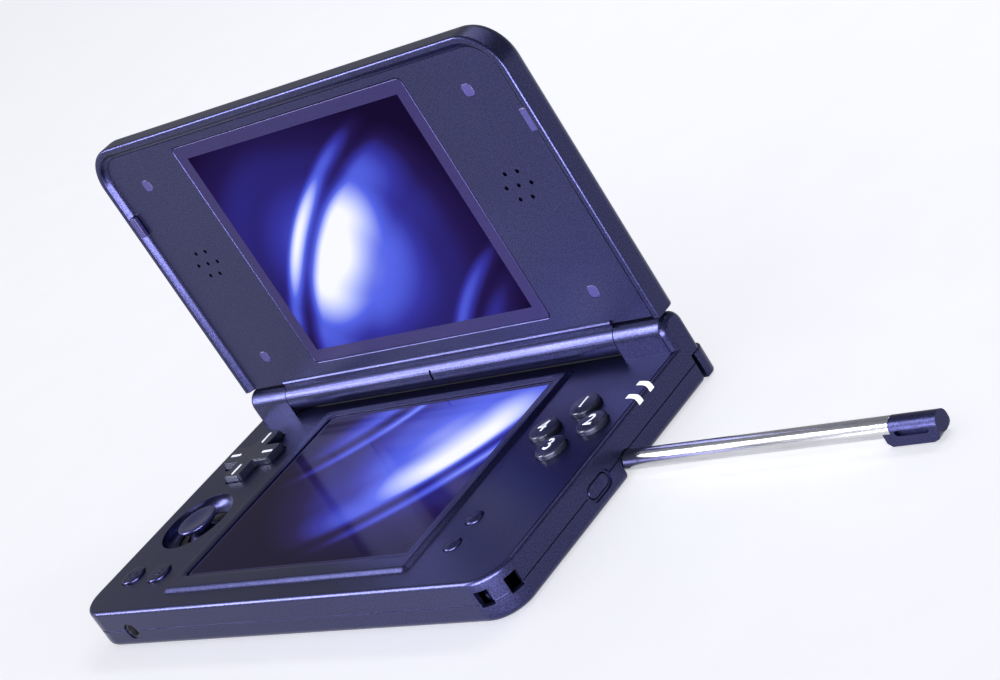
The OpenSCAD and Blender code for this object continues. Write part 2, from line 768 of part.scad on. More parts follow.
module thumbstick_gimbal() color("#b9bcc4") {
    translate([column_x, fy(stick_y), pivot_z]) difference() {
        union() {
            translate([0, 0, -ring_t / 2]) cylinder(h = ring_t, r = ring_r);
            along_x(-box_w / 2 + 0.3, box_w / 2 - 0.3) circle(r = trunnion_r);
        }
        translate([0, 0, -ring_t]) cylinder(h = 2 * ring_t, r = ring_hole_r);
        along_y(-ring_r - 1, ring_r + 1) circle(r = trunnion_r + trunnion_gap);
    }
}

cap_t = 1.5;
dome_r = 6.2;
module thumbstick() color(dark_key) {
    top = base_h + stick_rise;
    cap_edge = [for (i = [0:4]) [stick_cap_r - 0.5 + 0.5 * cos(22.5 * i), top - 0.5 + 0.5 * sin(22.5 * i)]];
    dish = [for (i = [0:5]) [(stick_cap_r - 1) * (1 - i / 5), top - 0.5 * sin(18 * i)]];
    translate([column_x, fy(stick_y), 0]) {
        rotate_extrude()
            polygon(concat([[0, pivot_z + 2.6], [1.4, pivot_z + 2.6], [1.4, pivot_z + dome_r - 1.4],
                            [2.6, top - cap_t - 0.6], [stick_cap_r - 0.8, top - cap_t]],
                           cap_edge, dish));
        // Skirt dome that closes the view into the housing
        rotate_extrude()
            polygon(concat([for (i = [0:6]) [dome_r * sin(12 + 7 * i), pivot_z + dome_r * cos(12 + 7 * i)]],
                           [for (i = [6:-1:0]) [(dome_r - 0.7) * sin(12 + 7 * i),
                                                pivot_z + (dome_r - 0.7) * cos(12 + 7 * i)]]));
        translate([0, 0, pivot_z - 1]) cylinder(h = 4.2, r = 1.4);
        translate([0, 0, pivot_z]) along_y(-ring_r + 0.2, ring_r - 0.2) circle(r = trunnion_r);
    }
}

module headphone_socket() color("#16161c") {
    z = seam_h - 0.6;
    x = jack_x - body_w / 2;
    difference() {
        union() {
            along_y(fy(0.5), fy(wall_t) + 0.3) translate([x, z]) circle(r = jack_r + 0.65);
            block(x - 2.9, x + 2.9, fy(wall_t) + 0.1, fy(wall_t + jack_l), z - 2.6, z + 2.6);
        }
        along_y(-body_d / 2, fy(wall_t + jack_l) - 1) translate([x, z]) circle(r = jack_r);
    }
}

module charging_socket() color("#c4c7cd") {
    z = board_z0 - charge_h / 2 - 0.35;
    depth = 7.6;
    difference() {
        along_y(fy(body_d - 0.2 - depth), fy(body_d - 0.2))
            translate([0, z]) racetrack(charge_w + 0.6, charge_h + 0.6);
        along_y(fy(body_d - 0.2 - depth) + 0.8, fy(body_d) + 1)
            translate([0, z]) racetrack(charge_w, charge_h);
    }
    block(-3.2, 3.2, fy(body_d - 0.2 - depth) + 0.5, fy(body_d - 2.2), z - 0.35, z + 0.35);
}

// Small switches under the board for the power, volume and shoulder buttons
module side_switches() color("#2c2c30") {
    z1 = board_z0 - 0.02;
    block(body_w / 2 - 9, body_w / 2 - 4.3, fy(power_y) - 2.4, fy(power_y) + 2.4, z1 - 2.6, z1);
    for (s = [-1, 1]) {
        block(-body_w / 2 + 4.6, -body_w / 2 + 8.6, fy(volume_y) + s * 5.5 - 1.6, fy(volume_y) + s * 5.5 + 1.6,
              z1 - 2.6, z1);
        block(s * nub_x - 2, s * nub_x + 2, fy(recess_y) - 6, fy(recess_y) - 2.9, z1 - 2.6, z1);
    }
}

module indicator_lights() color("#f4f6ff") {
    intersection() {
        along_z(ceiling_z, base_h + 1) light_plan(0.04);
        base_form(0.03);
    }
}

module shoulder_pins() color("#c9ccd2") {
    for (s = [-1, 1]) post(s * shoulder_pin_x, fy(shoulder_pin_y), 0.35, recess_z + 2, shoulder_pin_r);
}

module volume_pin() color("#c9ccd2") {
    post(volume_pin_x, fy(volume_y), floor_t + 0.15, ceiling_z - 0.7, volume_pin_r);
}

module base_screws() color("#5c5f68") {
    base_screw_spots() difference() {
        union() {
            post(0, 0, head_z0, head_z0 + head_t, head_r);
            post(0, 0, head_z0 + head_t - 0.1, ceiling_z - 1.2, screw_r);
        }
        along_z(head_z0 - 0.2, head_z0 + head_t / 2) {
            square([head_r + 0.3, head_r / 4], center = true);
            square([head_r / 4, head_r + 0.3], center = true);
        }
    }
}

module board_screws() color("#c9ccd2") {
    for (p = board_spots) {
        post(p[0], fy(p[1]), board_z1 + 0.02, board_z1 + 0.02 + board_head_t, board_head_r);
        post(p[0], fy(p[1]), board_screw_z, board_z1 + 0.1, board_screw_r);
    }
}

// Steel shaft fixed in the left knuckle, turning in the clutch
module hinge_shaft() color("#c9ccd2") {
    along_x(-body_w / 2 + 3.2, -barrel_x + shaft_out) translate([fy(hinge_y), hinge_z]) circle(r = shaft_r);
}

// Hollow sleeve fixed in the right knuckle, on which the barrel turns
module hinge_sleeve() color("#c9ccd2") {
    along_x(barrel_x - sleeve_out, body_w / 2 - 9) translate([fy(hinge_y), hinge_z]) difference() {
        circle(r = barrel_bore_r - 0.05);
        circle(r = roll_r + 0.25);
    }
}

module display_ribbon() color("#b5763a") {
    y = fy(hinge_y) - roll_r;
    along_x(ribbon_meet_x + 0.15, ribbon_x0 + ribbon_w) translate([fy(hinge_y), hinge_z]) difference() {
        circle(r = roll_r);
        circle(r = roll_r - ribbon_t);
    }
    block(ribbon_x0, ribbon_x0 + ribbon_w, y, y + ribbon_t, board_z1 + 0.02, hinge_z);
    block(ribbon_x0, ribbon_x0 + ribbon_w, y - ribbon_foot, y + ribbon_t,
          board_z1 + 0.02, board_z1 + ribbon_t);
}

// Lid frame: X as the base, Y outwards from the hinge axis, Z inwards towards the base
module in_lid() {
    translate([0, fy(hinge_y), hinge_z]) rotate([180 - lid_angle, 0, 0]) children();
}

rim_in = rim_w + rim_slope;
module lid_body() {
    edge = concat(low_arc(lid_back_r, lid_back_r, back_w), high_arc(0.6, 0.6, crest_w));
    cut = 14;
    reach = lid_len + 1 - lid_foot;
    intersection() {
        translate([0, lid_foot - cut, 0])
            moulded(body_w, lid_len - lid_foot + cut, lid_corner_r, lid_corner_r, edge, edge);
        along_x(-body_w, body_w) {
            translate([lid_foot, back_w + lobe_r]) square([reach, lid_t + 1 - lobe_r]);
            translate([lid_foot + lobe_r, back_w - 1]) square([reach - lobe_r, lobe_r + 2]);
            translate([lid_foot + lobe_r, back_w + lobe_r]) circle(r = lobe_r);
        }
    }
}

// Flared hollow inside the rim, open towards the hinge
module rim_hollow(low) {
    edge = [[rim_slope, low], [rim_slope, panel_w], [0, crest_w], [0, crest_w + 1]];
    cut = 20;
    r = lid_corner_r - rim_w;
    translate([0, lid_foot - cut, 0])
        moulded(body_w - 2 * rim_w, lid_len - lid_foot + cut - rim_w, r, r, edge, edge);
}

lobe_wall = 1.4;
module cover_spots() {
    for (s = [-1, 1], y = [cover_near, cover_far]) translate([s * cover_x, y, 0]) children();
}

boss_w1 = panel_w - panel_t - 1.2;
module lid_outer_shell() color(indigo) in_lid() {
    difference() {
        union() {
            difference() {
                lid_body();
                intersection() {
                    rim_hollow(cavity_w);
                    union() {
                        block(-body_w, body_w, lid_foot + lobe_wall, lid_len, cavity_w, crest_w + 2);
                        block(-body_w, body_w, 0, lid_len, panel_w - panel_t - 0.05, crest_w + 2);
                        block(-barrel_x, barrel_x, 0, lid_len, cavity_w, crest_w + 2);
                    }
                }
            }
            cover_spots() post(0, 0, cavity_w - eps, boss_w1 - 0.05, 2.4);
        }
        cover_spots() post(0, 0, cavity_w - 0.3, boss_w1 + 1, 0.82);
        for (s = [-1, 1]) scale([s, 1, 1]) bumper_form(0.06);
    }
}

// Bumpers seated in the rim slope on both sides
bumper_s = 61.6;
bumper_l = 6.2;
module bumper_form(gap) {
    x1 = body_w / 2 - rim_w + 0.5;
    block(x1 - 2.6 - gap, x1 + gap, bumper_s - bumper_l / 2 - gap, bumper_s + bumper_l / 2 + gap,
          panel_w + 0.1 - gap, crest_w - 0.15);
}

module lid_bumpers() color("#5a55a8") in_lid() {
    for (s = [-1, 1]) scale([s, 1, 1]) bumper_form(0);
}

// Hole groups of the speakers: rows of two, three and two
speaker_x = body_w / 2 - 18.8;
speaker_s = 45.7;
hole_pitch = 4.2;
row_pitch = hole_pitch * sin(60);
hole_r = 0.6;
module speaker_holes() {
    for (s = [-1, 1], row = [-1, 0, 1]) {
        n = row == 0 ? 3 : 2;
        for (i = [0:n - 1]) {
            x = s * speaker_x + (i - (n - 1) / 2) * hole_pitch;
            translate([x, speaker_s + row * row_pitch, panel_w - panel_t - 1])
                cylinder(h = panel_t + 2, r = hole_r, $fn = 24);
        }
    }
}

window_clear = 0.1;
window_ledge = 2.4;
skirt_s = lid_foot - 0.4;
bead_s = barrel_r + 1.5;
mic_x = -3;
lid_roll_r = barrel_bore_r - 0.1;
module lid_inner_panel() color(indigo) in_lid() {
    pw = body_w - 2 * rim_in - 0.3;
    pr = lid_corner_r - rim_in - 0.15;
    ww = picture_w + 2 * (window_border + window_clear);
    wd = picture_h + 2 * (window_border + window_clear);
    panel_w0 = panel_w - panel_t;
    difference() {
        union() {
            intersection() {
                translate([0, lid_foot - 20, 0])
                    plan_slab(pw, lid_len - rim_in - 0.15 - lid_foot + 20, pr, pr, panel_w0, panel_w);
                block(-body_w, body_w, lid_foot, lid_len, panel_w0 - 1, panel_w + 1);
            }
            along_x(-barrel_x, barrel_x) {
                circle(r = barrel_r);
                // Skirt between the barrel and the panel, with the raised bead along its upper edge
                polygon([[0, -barrel_r], [skirt_s, -barrel_r], [skirt_s, panel_w0], [bead_s + 1, panel_w0],
                         [bead_s + 1, panel_w], [bead_s + 0.1, panel_w], [bead_s - 0.1, panel_w + 0.5],
                         [bead_s - 0.5, panel_w + 0.7], [bead_s - 1, panel_w + 0.6],
                         [2.6, barrel_r * 0.76], [0, barrel_r]]);
            }
            cover_spots() post(0, 0, boss_w1, panel_w0 + eps, 3);
        }
        along_x(-barrel_x - 1, barrel_x + 1) circle(r = barrel_bore_r);
        translate([0, upper_screen_s - wd / 2, 0]) {
            plan_slab(ww, wd, 1.4, 1.4, panel_w - glass_t, panel_w + 1);
            block(-ww / 2 + window_ledge, ww / 2 - window_ledge, window_ledge, wd - window_ledge,
                  panel_w0 - 1, panel_w);
        }
        speaker_holes();
        cover_spots() {
            along_z(panel_w - 0.8, panel_w + 1) round_rect(3.3, 3.5, 1.05);
            post(0, 0, boss_w1 + 0.7, panel_w - 0.8 + eps, 1.62);
            post(0, 0, boss_w1 - 1, boss_w1 + 1, 0.82);
        }
        // Microphone slot
        translate([mic_x, 0, 0]) rotate([-12, 0, 0]) along_z(0, barrel_r + 2) rotate(90) racetrack(3, 0.8);
        // Way of the ribbon from the barrel into the lid
        block(ribbon_meet_x - 0.65 - ribbon_w, ribbon_meet_x + 0.35, 0, lid_foot + 1,
              -lid_roll_r - 0.25, -lid_roll_r + ribbon_t + 0.25);
    }
}

module upper_window() color("#3a3190") in_lid() {
    ww = picture_w + 2 * window_border;
    wd = picture_h + 2 * window_border;
    translate([0, upper_screen_s - wd / 2, 0]) plan_slab(ww, wd, 1.3, 1.3, panel_w - glass_t + 0.02, panel_w);
}

module upper_display() color("#101018") in_lid() {
    w = picture_w + 2 * window_border + 1;
    d = picture_h + 2 * window_border + 1;
    top = panel_w - panel_t - seat;
    block(-w / 2, w / 2, upper_screen_s - d / 2, upper_screen_s + d / 2, top - display_t, top);
}

module speaker(s) color("#26262c") in_lid() {
    top = panel_w - panel_t - seat;
    translate([s * speaker_x, speaker_s, 0]) difference() {
        post(0, 0, top - 2.8, top, 7);
        post(0, 0, top - 0.5, top + 1, 5.8);
    }
}
module left_speaker() speaker(-1);
module right_speaker() speaker(1);

module microphone() color("#b9bcc4") in_lid() {
    along_x(mic_x - 2.5, mic_x + 2.5) circle(r = barrel_bore_r - 0.05);
}

module lid_screw_covers() color("#5a55a8") in_lid() {
    cover_spots() along_z(panel_w - 0.78, panel_w + 0.12) round_rect(3.2, 3.4, 1);
}

module lid_screws() color("#c9ccd2") in_lid() {
    cover_spots() {
        post(0, 0, boss_w1 + 0.72, boss_w1 + 1.3, 1.5);
        post(0, 0, cavity_w - 0.2, boss_w1 + 0.8, 0.8);
    }
}

// Friction clutch that turns with the lid on the fixed shaft
module hinge_clutch() color("#8d9098") in_lid() {
    along_x(-barrel_x + 0.1, -barrel_x + clutch_l) difference() {
        circle(r = barrel_bore_r - 0.02);
        circle(r = shaft_r + 0.05);
    }
}

module lid_ribbon() color("#b5763a") in_lid() {
    x1 = ribbon_meet_x - 0.15;
    display_s0 = upper_screen_s - picture_h / 2 - window_border - 0.5;
    along_x(x1 - ribbon_w, x1) difference() {
        circle(r = lid_roll_r);
        circle(r = lid_roll_r - ribbon_t);
    }
    block(x1 - ribbon_w, x1, 0, display_s0 - 0.3, -lid_roll_r, -lid_roll_r + ribbon_t);
}

pad_flange_z = board_z1 + 1.3;
pad_flange_t = 0.55;
plate_z = board_z1 + mat_t + 0.27;
plate_t = 0.5;
module dpad_rocker_plate() color("#6b6e76") {
    translate([column_x, fy(pad_y), plate_z]) linear_extrude(plate_t) square(5, center = true);
}

module direction_pad() color(dark_key) {
    top = base_h + pad_rise;
    translate([column_x, fy(pad_y), 0]) {
        along_z(pad_flange_z + eps, top - 0.4) cross(pad_span, pad_arm);
        along_z(top - 0.5, top) cross(pad_span - 0.5, pad_arm - 0.5);
        along_z(pad_flange_z, pad_flange_z + pad_flange_t) cross(pad_span + 1.8, pad_arm + 2.4);
        post(0, 0, plate_z + plate_t + 0.13, pad_flange_z + 0.1, 1.2);
    }
}

// Round push button: crowned cap, flange under the skin and a short plunger
module push_button(x, y, r, rise, flange) color(dark_key) {
    top = base_h + rise;
    low = board_z1 + dome_h + button_travel + 0.1;
    crown = [for (i = [0:4]) [r - 0.7 + 0.7 * cos(22.5 * i), top - 0.5 + 0.5 * sin(22.5 * i)]];
    translate([x, fy(y), 0]) rotate_extrude()
        polygon(concat([[0, low], [1.5, low], [1.5, ceiling_z - 0.8], [r + flange, ceiling_z - 0.8],
                        [r + flange, ceiling_z - 0.1], [r, ceiling_z - 0.1]],
                       crown, [[0, top]]));
}
module face_button(i) push_button(face_spots[i][0], face_spots[i][1], face_r, face_rise, 0.9);
module face_button_1() face_button(0);
module face_button_2() face_button(1);
module face_button_3() face_button(2);
module face_button_4() face_button(3);
module start_button() push_button(start_x, start_y, start_r, small_rise, 0.7);
module select_button() push_button(start_x, select_y, start_r, small_rise, 0.7);
module function_button_left() push_button(function_spots[0][0], function_y, function_r, small_rise, 0.8);
module function_button_right() push_button(function_spots[1][0], function_y, function_r, small_rise, 0.8);

power_travel = 0.5;
module power_button() color(dark_key) {
    side_track(body_w / 2 - 2.4, body_w / 2 - 0.25, power_y, power_l, power_w);
    side_track(body_w / 2 - wall_t - 1, body_w / 2 - wall_t - 0.2, power_y, power_l + 1.6, power_w + 1.6);
    along_x(body_w / 2 - 4.3 + power_travel + 0.1, body_w / 2 - 2)
        translate([fy(power_y), board_z0 - 1.2]) circle(r = 0.8);
}

module volume_rocker() color(indigo) {
    inner = -body_w / 2 + wall_t;
    difference() {
        union() {
            side_track(-body_w / 2 - 0.35, inner + 0.6, volume_y, volume_l, volume_w);
            side_track(inner + 0.45, inner + 1.2, volume_y, volume_l + 1.4, volume_w + 0.8);
            post(volume_pin_x, fy(volume_y), side_z - volume_hub_h / 2, side_z + volume_hub_h / 2, 1.4);
            block(inner + 1, volume_pin_x, fy(volume_y) - 1.2, fy(volume_y) + 1.2, side_z - 1.8, side_z + 1.8);
            for (e = [-1, 1])
                block(inner + 1, -body_w / 2 + 4.3, fy(volume_y) + e * 5.5 - 1, fy(volume_y) + e * 5.5 + 1,
                      board_z0 - 2.2, board_z0 - 0.6);
        }
        post(volume_pin_x, fy(volume_y), 0, base_h, volume_pin_r + 0.05);
    }
}

// Shoulder button: wraps the rear corner and turns on its inner pin
module shoulder_button(s) color(indigo) {
    z0 = 0.5;
    z1 = z0 + shoulder_h;
    y0 = fy(shoulder_y);
    y1 = y0 + shoulder_d;
    x0 = shoulder_x + 0.5;
    x1 = body_w / 2;
    r = 3.6;
    scale([s, 1, 1]) difference() {
        union() {
            along_z(z0, z1) {
                translate([x0 + 1.5, y0]) square([x1 - x0 - 1.5 - r, shoulder_d]);
                translate([x0, y0 + 1.5]) square([3, shoulder_d - 3]);
                translate([x0 + 1.5, y0 + 1.5]) circle(r = 1.5);
                translate([x0 + 1.5, y1 - 1.5]) circle(r = 1.5);
                intersection() {
                    union() {
                        translate([x1 - r, y1 - r]) circle(r = r);
                        translate([x1 - r, y0]) square([r, y1 - r - y0]);
                    }
                    translate([x1 - r - 1, y0]) square([r + 1, shoulder_d]);
                }
            }
            block(nub_x - 1, nub_x + 1, fy(recess_y) - 2, y0 + 1, nub_z0, nub_z1);
        }
        post(shoulder_pin_x, fy(shoulder_pin_y), -1, z1 + 1, shoulder_pin_r + 0.05);
        block(shoulder_x - 1, shoulder_x + ear_l + 1.6, y0 - 1, y1 + 1, -1, ear_t + 0.2);
    }
}
module left_shoulder_button() shoulder_button(-1);
module right_shoulder_button() shoulder_button(1);

// Stylus frame: origin at the outer end of the head, on the tube axis
module in_stylus() {
    translate([body_w / 2 + stylus_out, fy(stylus_y), stylus_z]) children();
}

tip_l = 6;
module stylus_tube() color("#b9bcc0") in_stylus() {
    along_x(-stylus_l + tip_l, -head_l + 2) circle(r = stylus_r);
}

module stylus_tip() color("#17171c") in_stylus() {
    round = [for (i = [0:6]) [1.5 - 1.5 * cos(15 * i), 0.9 + 1.4 * sin(15 * i)]];
    translate([-stylus_l, 0, 0]) rotate([0, 90, 0]) {
        rotate_extrude()
            polygon(concat([for (p = round) [p[1] - 0.1, p[0]]],
                           [[stylus_r, 3.4], [stylus_r, tip_l - 0.02], [0, tip_l - 0.02], [0, 0]]));
    }
}

module stylus_head() color(indigo) in_stylus() {
    low = 0.25 - stylus_z;
    w = 2 * stylus_r;
    difference() {
        union() {
            along_x(-head_l, 0) circle(r = stylus_r);
            along_y(-w / 2, w / 2) {
                polygon([[-head_l, 0], [-head_l, low + 1], [-head_l + 1, low], [-2.4, low], [-1, low + 0.5],
                         [-0.3, low + 1.4], [0, low + 2.4], [0, 0]]);
            }
        }
        along_x(-head_l - 1, -head_l + 2.05) circle(r = stylus_r + 0.02);
        along_y(-w / 2 - 1, -w / 2 + 1) translate([-head_l / 2 + 0.4, -0.4]) racetrack(8.6, 1.4);
    }
}

base_top_shell();
base_bottom_shell();
stylus_channel();
lower_display();
touch_panel();
main_board();
battery();
dpad_mat();
face_button_mat();
start_select_mat();
function_mat();
thumbstick_module();
stick_dust_ring();
headphone_socket();
charging_socket();
side_switches();
indicator_lights();
shoulder_pins();
volume_pin();
base_screws();
board_screws();
hinge_shaft();
hinge_sleeve();
display_ribbon();
lid_outer_shell();
lid_inner_panel();
upper_window();
upper_display();
left_speaker();
right_speaker();
microphone();
lid_screw_covers();
lid_bumpers();
lid_screws();
hinge_clutch();
lid_ribbon();
dpad_rocker_plate();
direction_pad();
thumbstick_gimbal();
thumbstick();
face_button_1();
face_button_2();
face_button_3();
face_button_4();
start_button();
select_button();
function_button_left();
function_button_right();
power_button();
volume_rocker();
left_shoulder_button();
right_shoulder_button();
stylus_tube();
stylus_tip();
stylus_head();
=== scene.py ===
import json
from math import cos, pi, radians, sin, sqrt

import bmesh
import bpy
from mathutils import Matrix, Vector


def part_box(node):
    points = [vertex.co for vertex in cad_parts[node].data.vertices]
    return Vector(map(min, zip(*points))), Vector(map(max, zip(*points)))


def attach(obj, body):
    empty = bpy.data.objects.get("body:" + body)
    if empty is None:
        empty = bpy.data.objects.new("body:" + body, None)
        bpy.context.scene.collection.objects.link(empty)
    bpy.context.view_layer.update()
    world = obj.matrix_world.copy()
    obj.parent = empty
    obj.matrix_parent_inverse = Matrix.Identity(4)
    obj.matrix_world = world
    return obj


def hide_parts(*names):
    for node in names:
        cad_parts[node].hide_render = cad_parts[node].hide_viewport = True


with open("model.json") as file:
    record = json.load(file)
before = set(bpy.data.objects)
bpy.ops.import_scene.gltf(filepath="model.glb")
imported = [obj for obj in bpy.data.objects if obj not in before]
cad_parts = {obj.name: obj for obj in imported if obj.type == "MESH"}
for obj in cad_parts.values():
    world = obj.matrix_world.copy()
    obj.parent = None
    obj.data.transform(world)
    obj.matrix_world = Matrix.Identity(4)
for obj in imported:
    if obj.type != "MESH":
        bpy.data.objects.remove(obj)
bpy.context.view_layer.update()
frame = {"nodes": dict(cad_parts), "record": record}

MM = 0.001
MERGE = 0.002 * MM
# Edges that turn by more degrees than this are sharp
SHARP = 35
RECORD = frame["record"]
BODY_OF = {node: body for body, nodes in RECORD["behaviour"]["bodies"].items()
           for node in nodes}
SLOT_OF = {row["node"]: row["material_slot"] for row in RECORD["subparts"]}

# Looks shared by several pieces
INDIGO = (0.034, 0.035, 0.094)
INDIGO_DEEP = (0.022, 0.023, 0.066)
KEY_BLACK = (0.018, 0.019, 0.038)
LENS_VIOLET = (0.020, 0.015, 0.068)
LAVENDER = (0.022, 0.018, 0.105)
MARK_WHITE = (0.86, 0.87, 0.93)

# Features per metre of the pigment's sparkle
PIGMENT = 3000

# Both pictures are four to three
PICTURE_W = 83.8 * MM
PICTURE_H = PICTURE_W * 3 / 4

# Each fold of light brightens slowly, darkens, and ends in a thin bright line
FOLD_STOPS = [(0.0, 0.16), (0.30, 0.30), (0.62, 1.0), (0.72, 0.10), (0.80, 0.95), (0.86, 0.14),
              (1.0, 0.16)]
HALO_STOPS = [(0.25, 0.0), (0.58, 0.36), (0.82, 0.84), (1.0, 1.0)]
HALO_STRETCH = (1.05, 0.95)
GLOW_STOPS = [(0.0, (0.004, 0.001, 0.016)), (0.10, (0.014, 0.007, 0.07)),
              (0.24, (0.035, 0.035, 0.36)), (0.42, (0.09, 0.13, 0.80)),
              (0.62, (0.45, 0.52, 1.0)), (0.85, (0.95, 0.96, 1.0))]


# Materials

def shade(colour, factor):
    """A colour made darker or lighter."""
    return tuple(factor * part for part in colour)


def new_material(name, colour, metallic, roughness):
    """A named material whose even values sit on the shader's own sockets."""
    material = bpy.data.materials.new(name)
    material.use_nodes = True
    shader = material.node_tree.nodes["Principled BSDF"]
    shader.inputs["Base Color"].default_value = (*colour, 1)
    shader.inputs["Metallic"].default_value = metallic
    shader.inputs["Roughness"].default_value = roughness
    return material, material.node_tree, shader


def add_node(tree, kind, links=(), **values):
    """A shader node with socket values by name; links are (socket, output) pairs."""
    node = tree.nodes.new(kind)
    for key, value in values.items():
        socket = key.replace("_", " ")
        if socket in node.inputs:
            node.inputs[socket].default_value = value
        else:
            setattr(node, key, value)
    for socket, output in links:
        tree.links.new(output, node.inputs[socket])
    return node


def object_noise(tree, scale, detail=2.0, stretch=(1, 1, 1)):
    """Noise in the object's own coordinates, with features about 1/scale metres wide."""
    coords = add_node(tree, "ShaderNodeTexCoord")
    mapping = add_node(tree, "ShaderNodeMapping", [("Vector", coords.outputs["Object"])],
                       Scale=stretch)
    return add_node(tree, "ShaderNodeTexNoise", [("Vector", mapping.outputs["Vector"])],
                    Scale=scale, Detail=detail)


def colour_ramp(tree, factor, stops, interpolation="LINEAR"):
    """A ramp through two or more (place, colour) stops."""
    ramp = add_node(tree, "ShaderNodeValToRGB", [("Fac", factor)])
    ramp.color_ramp.interpolation = interpolation
    for place, _ in stops[1:-1]:
        ramp.color_ramp.elements.new(place)
    for element, (place, colour) in zip(ramp.color_ramp.elements, stops):
        element.position = place
        element.color = (*colour, 1)
    return ramp.outputs["Color"]


def add_bump(tree, shader, pattern, depth, strength):
    """Lets a noise pattern raise and lower the surface in its shading."""
    bump = add_node(tree, "ShaderNodeBump", [("Height", pattern.outputs["Fac"])],
                    Strength=strength, Distance=depth)
    tree.links.new(bump.outputs["Normal"], shader.inputs["Normal"])


def add_grain(tree, shader, scale, depth, strength):
    """Fine moulded grain as a bump."""
    grain = object_noise(tree, scale)
    add_bump(tree, shader, grain, depth, strength)


def vary_roughness(tree, shader, scale, low, high, stretch=(1, 1, 1)):
    """Slow change of gloss over the surface, as handled plastic has."""
    cloud = object_noise(tree, scale, 3.0, stretch)
    spread = add_node(tree, "ShaderNodeMapRange", [("Value", cloud.outputs["Fac"])],
                      From_Min=0.3, From_Max=0.7, To_Min=low, To_Max=high)
    tree.links.new(spread.outputs["Result"], shader.inputs["Roughness"])


def speckle_colour(tree, shader, scale, dark, light, low=0.40, high=0.62):
    """Fine sparkle of the pigment between two near colours."""
    flakes = object_noise(tree, scale, 1.0)
    sparkle = colour_ramp(tree, flakes.outputs["Fac"], [(low, dark), (high, light)])
    tree.links.new(sparkle, shader.inputs["Base Color"])


def moulded_indigo():
    """Satin metallic indigo of the housings."""
    material, tree, shader = new_material("satin_indigo", INDIGO, 0.93, 0.33)
    shader.inputs["Specular IOR Level"].default_value = 0.3
    speckle_colour(tree, shader, PIGMENT, INDIGO_DEEP, shade(INDIGO, 1.25))
    vary_roughness(tree, shader, 35, 0.29, 0.36)
    add_grain(tree, shader, 2800, 0.02 * MM, 0.5)
    shader.inputs["Coat Weight"].default_value = 0.05
    shader.inputs["Coat Roughness"].default_value = 0.22
    return material


def key_plastic():
    """Near-black indigo of the keys."""
    material, tree, shader = new_material("key_plastic", KEY_BLACK, 0.35, 0.3)
    speckle_colour(tree, shader, PIGMENT, shade(KEY_BLACK, 0.7), shade(KEY_BLACK, 1.4))
    vary_roughness(tree, shader, 90, 0.24, 0.34)
    add_grain(tree, shader, 3200, 0.01 * MM, 0.2)
    return material


def stick_cap():
    """Satin cap of the stick, a little glossier than the housings."""
    material, tree, shader = new_material("stick_cap", (0.050, 0.051, 0.150), 0.8, 0.27)
    speckle_colour(tree, shader, 2800, (0.040, 0.041, 0.120), (0.060, 0.061, 0.180))
    vary_roughness(tree, shader, 60, 0.24, 0.31)
    add_grain(tree, shader, 2600, 0.02 * MM, 0.4)
    return material


def lens_border():
    """Violet rim of the screen windows."""
    material, tree, shader = new_material("lens_border", LENS_VIOLET, 0.45, 0.30)
    shader.inputs["Specular IOR Level"].default_value = 0.2
    speckle_colour(tree, shader, 2800, shade(LENS_VIOLET, 0.85), shade(LENS_VIOLET, 1.15))
    add_grain(tree, shader, 2600, 0.01 * MM, 0.25)
    return material


def tinted_rubber(name, colour, roughness):
    """Soft rubber with a dusty grain."""
    material, tree, shader = new_material(name, colour, 0.0, roughness)
    speckle_colour(tree, shader, 2400, shade(colour, 0.8), shade(colour, 1.2))
    vary_roughness(tree, shader, 200, roughness - 0.06, roughness + 0.06)
    add_grain(tree, shader, 2200, 0.02 * MM, 0.4)
    return material


def plain_plastic(name, colour, roughness):
    """Unpainted moulded plastic."""
    grain = 2600
    material, tree, shader = new_material(name, colour, 0.0, roughness)
    speckle_colour(tree, shader, grain, shade(colour, 0.85), shade(colour, 1.15))
    vary_roughness(tree, shader, 120, roughness - 0.05, roughness + 0.05)
    add_grain(tree, shader, grain, 0.015 * MM, 0.3)
    return material


def drawn_metal(name, colour, roughness, stretch):
    """Metal with fine drawing lines along one direction."""
    material, tree, shader = new_material(name, colour, 1.0, roughness)
    lines = object_noise(tree, 900, 3.0, stretch)
    streaks = colour_ramp(tree, lines.outputs["Fac"],
                          [(0.3, shade(colour, 0.82)), (0.7, shade(colour, 1.08))])
    tree.links.new(streaks, shader.inputs["Base Color"])
    vary_roughness(tree, shader, 700, roughness - 0.05, roughness + 0.07, stretch)
    add_bump(tree, shader, lines, 0.01 * MM, 0.25)
    return material


def printed_white(name="printed_white", glow=0.0):
    """Thin white ink or a lit white guide."""
    material, tree, shader = new_material(name, MARK_WHITE, 0.0, 0.45)
    speckle_colour(tree, shader, 2600, (0.78, 0.79, 0.86), (0.92, 0.93, 0.98))
    shader.inputs["Emission Color"].default_value = (0.86, 0.88, 1.0, 1)
    shader.inputs["Emission Strength"].default_value = glow
    return material


def solder_mask():
    """Green board with a hint of tracks."""
    material, tree, shader = new_material("solder_mask", (0.012, 0.055, 0.032), 0.0, 0.35)
    speckle_colour(tree, shader, 900, (0.008, 0.040, 0.022), (0.02, 0.085, 0.05), 0.45, 0.55)
    return material


def grey_ramp(tree, factor, stops):
    """A smooth ramp of plain values from (place, value) stops."""
    return colour_ramp(tree, factor, [(place, (value,) * 3) for place, value in stops], "EASE")


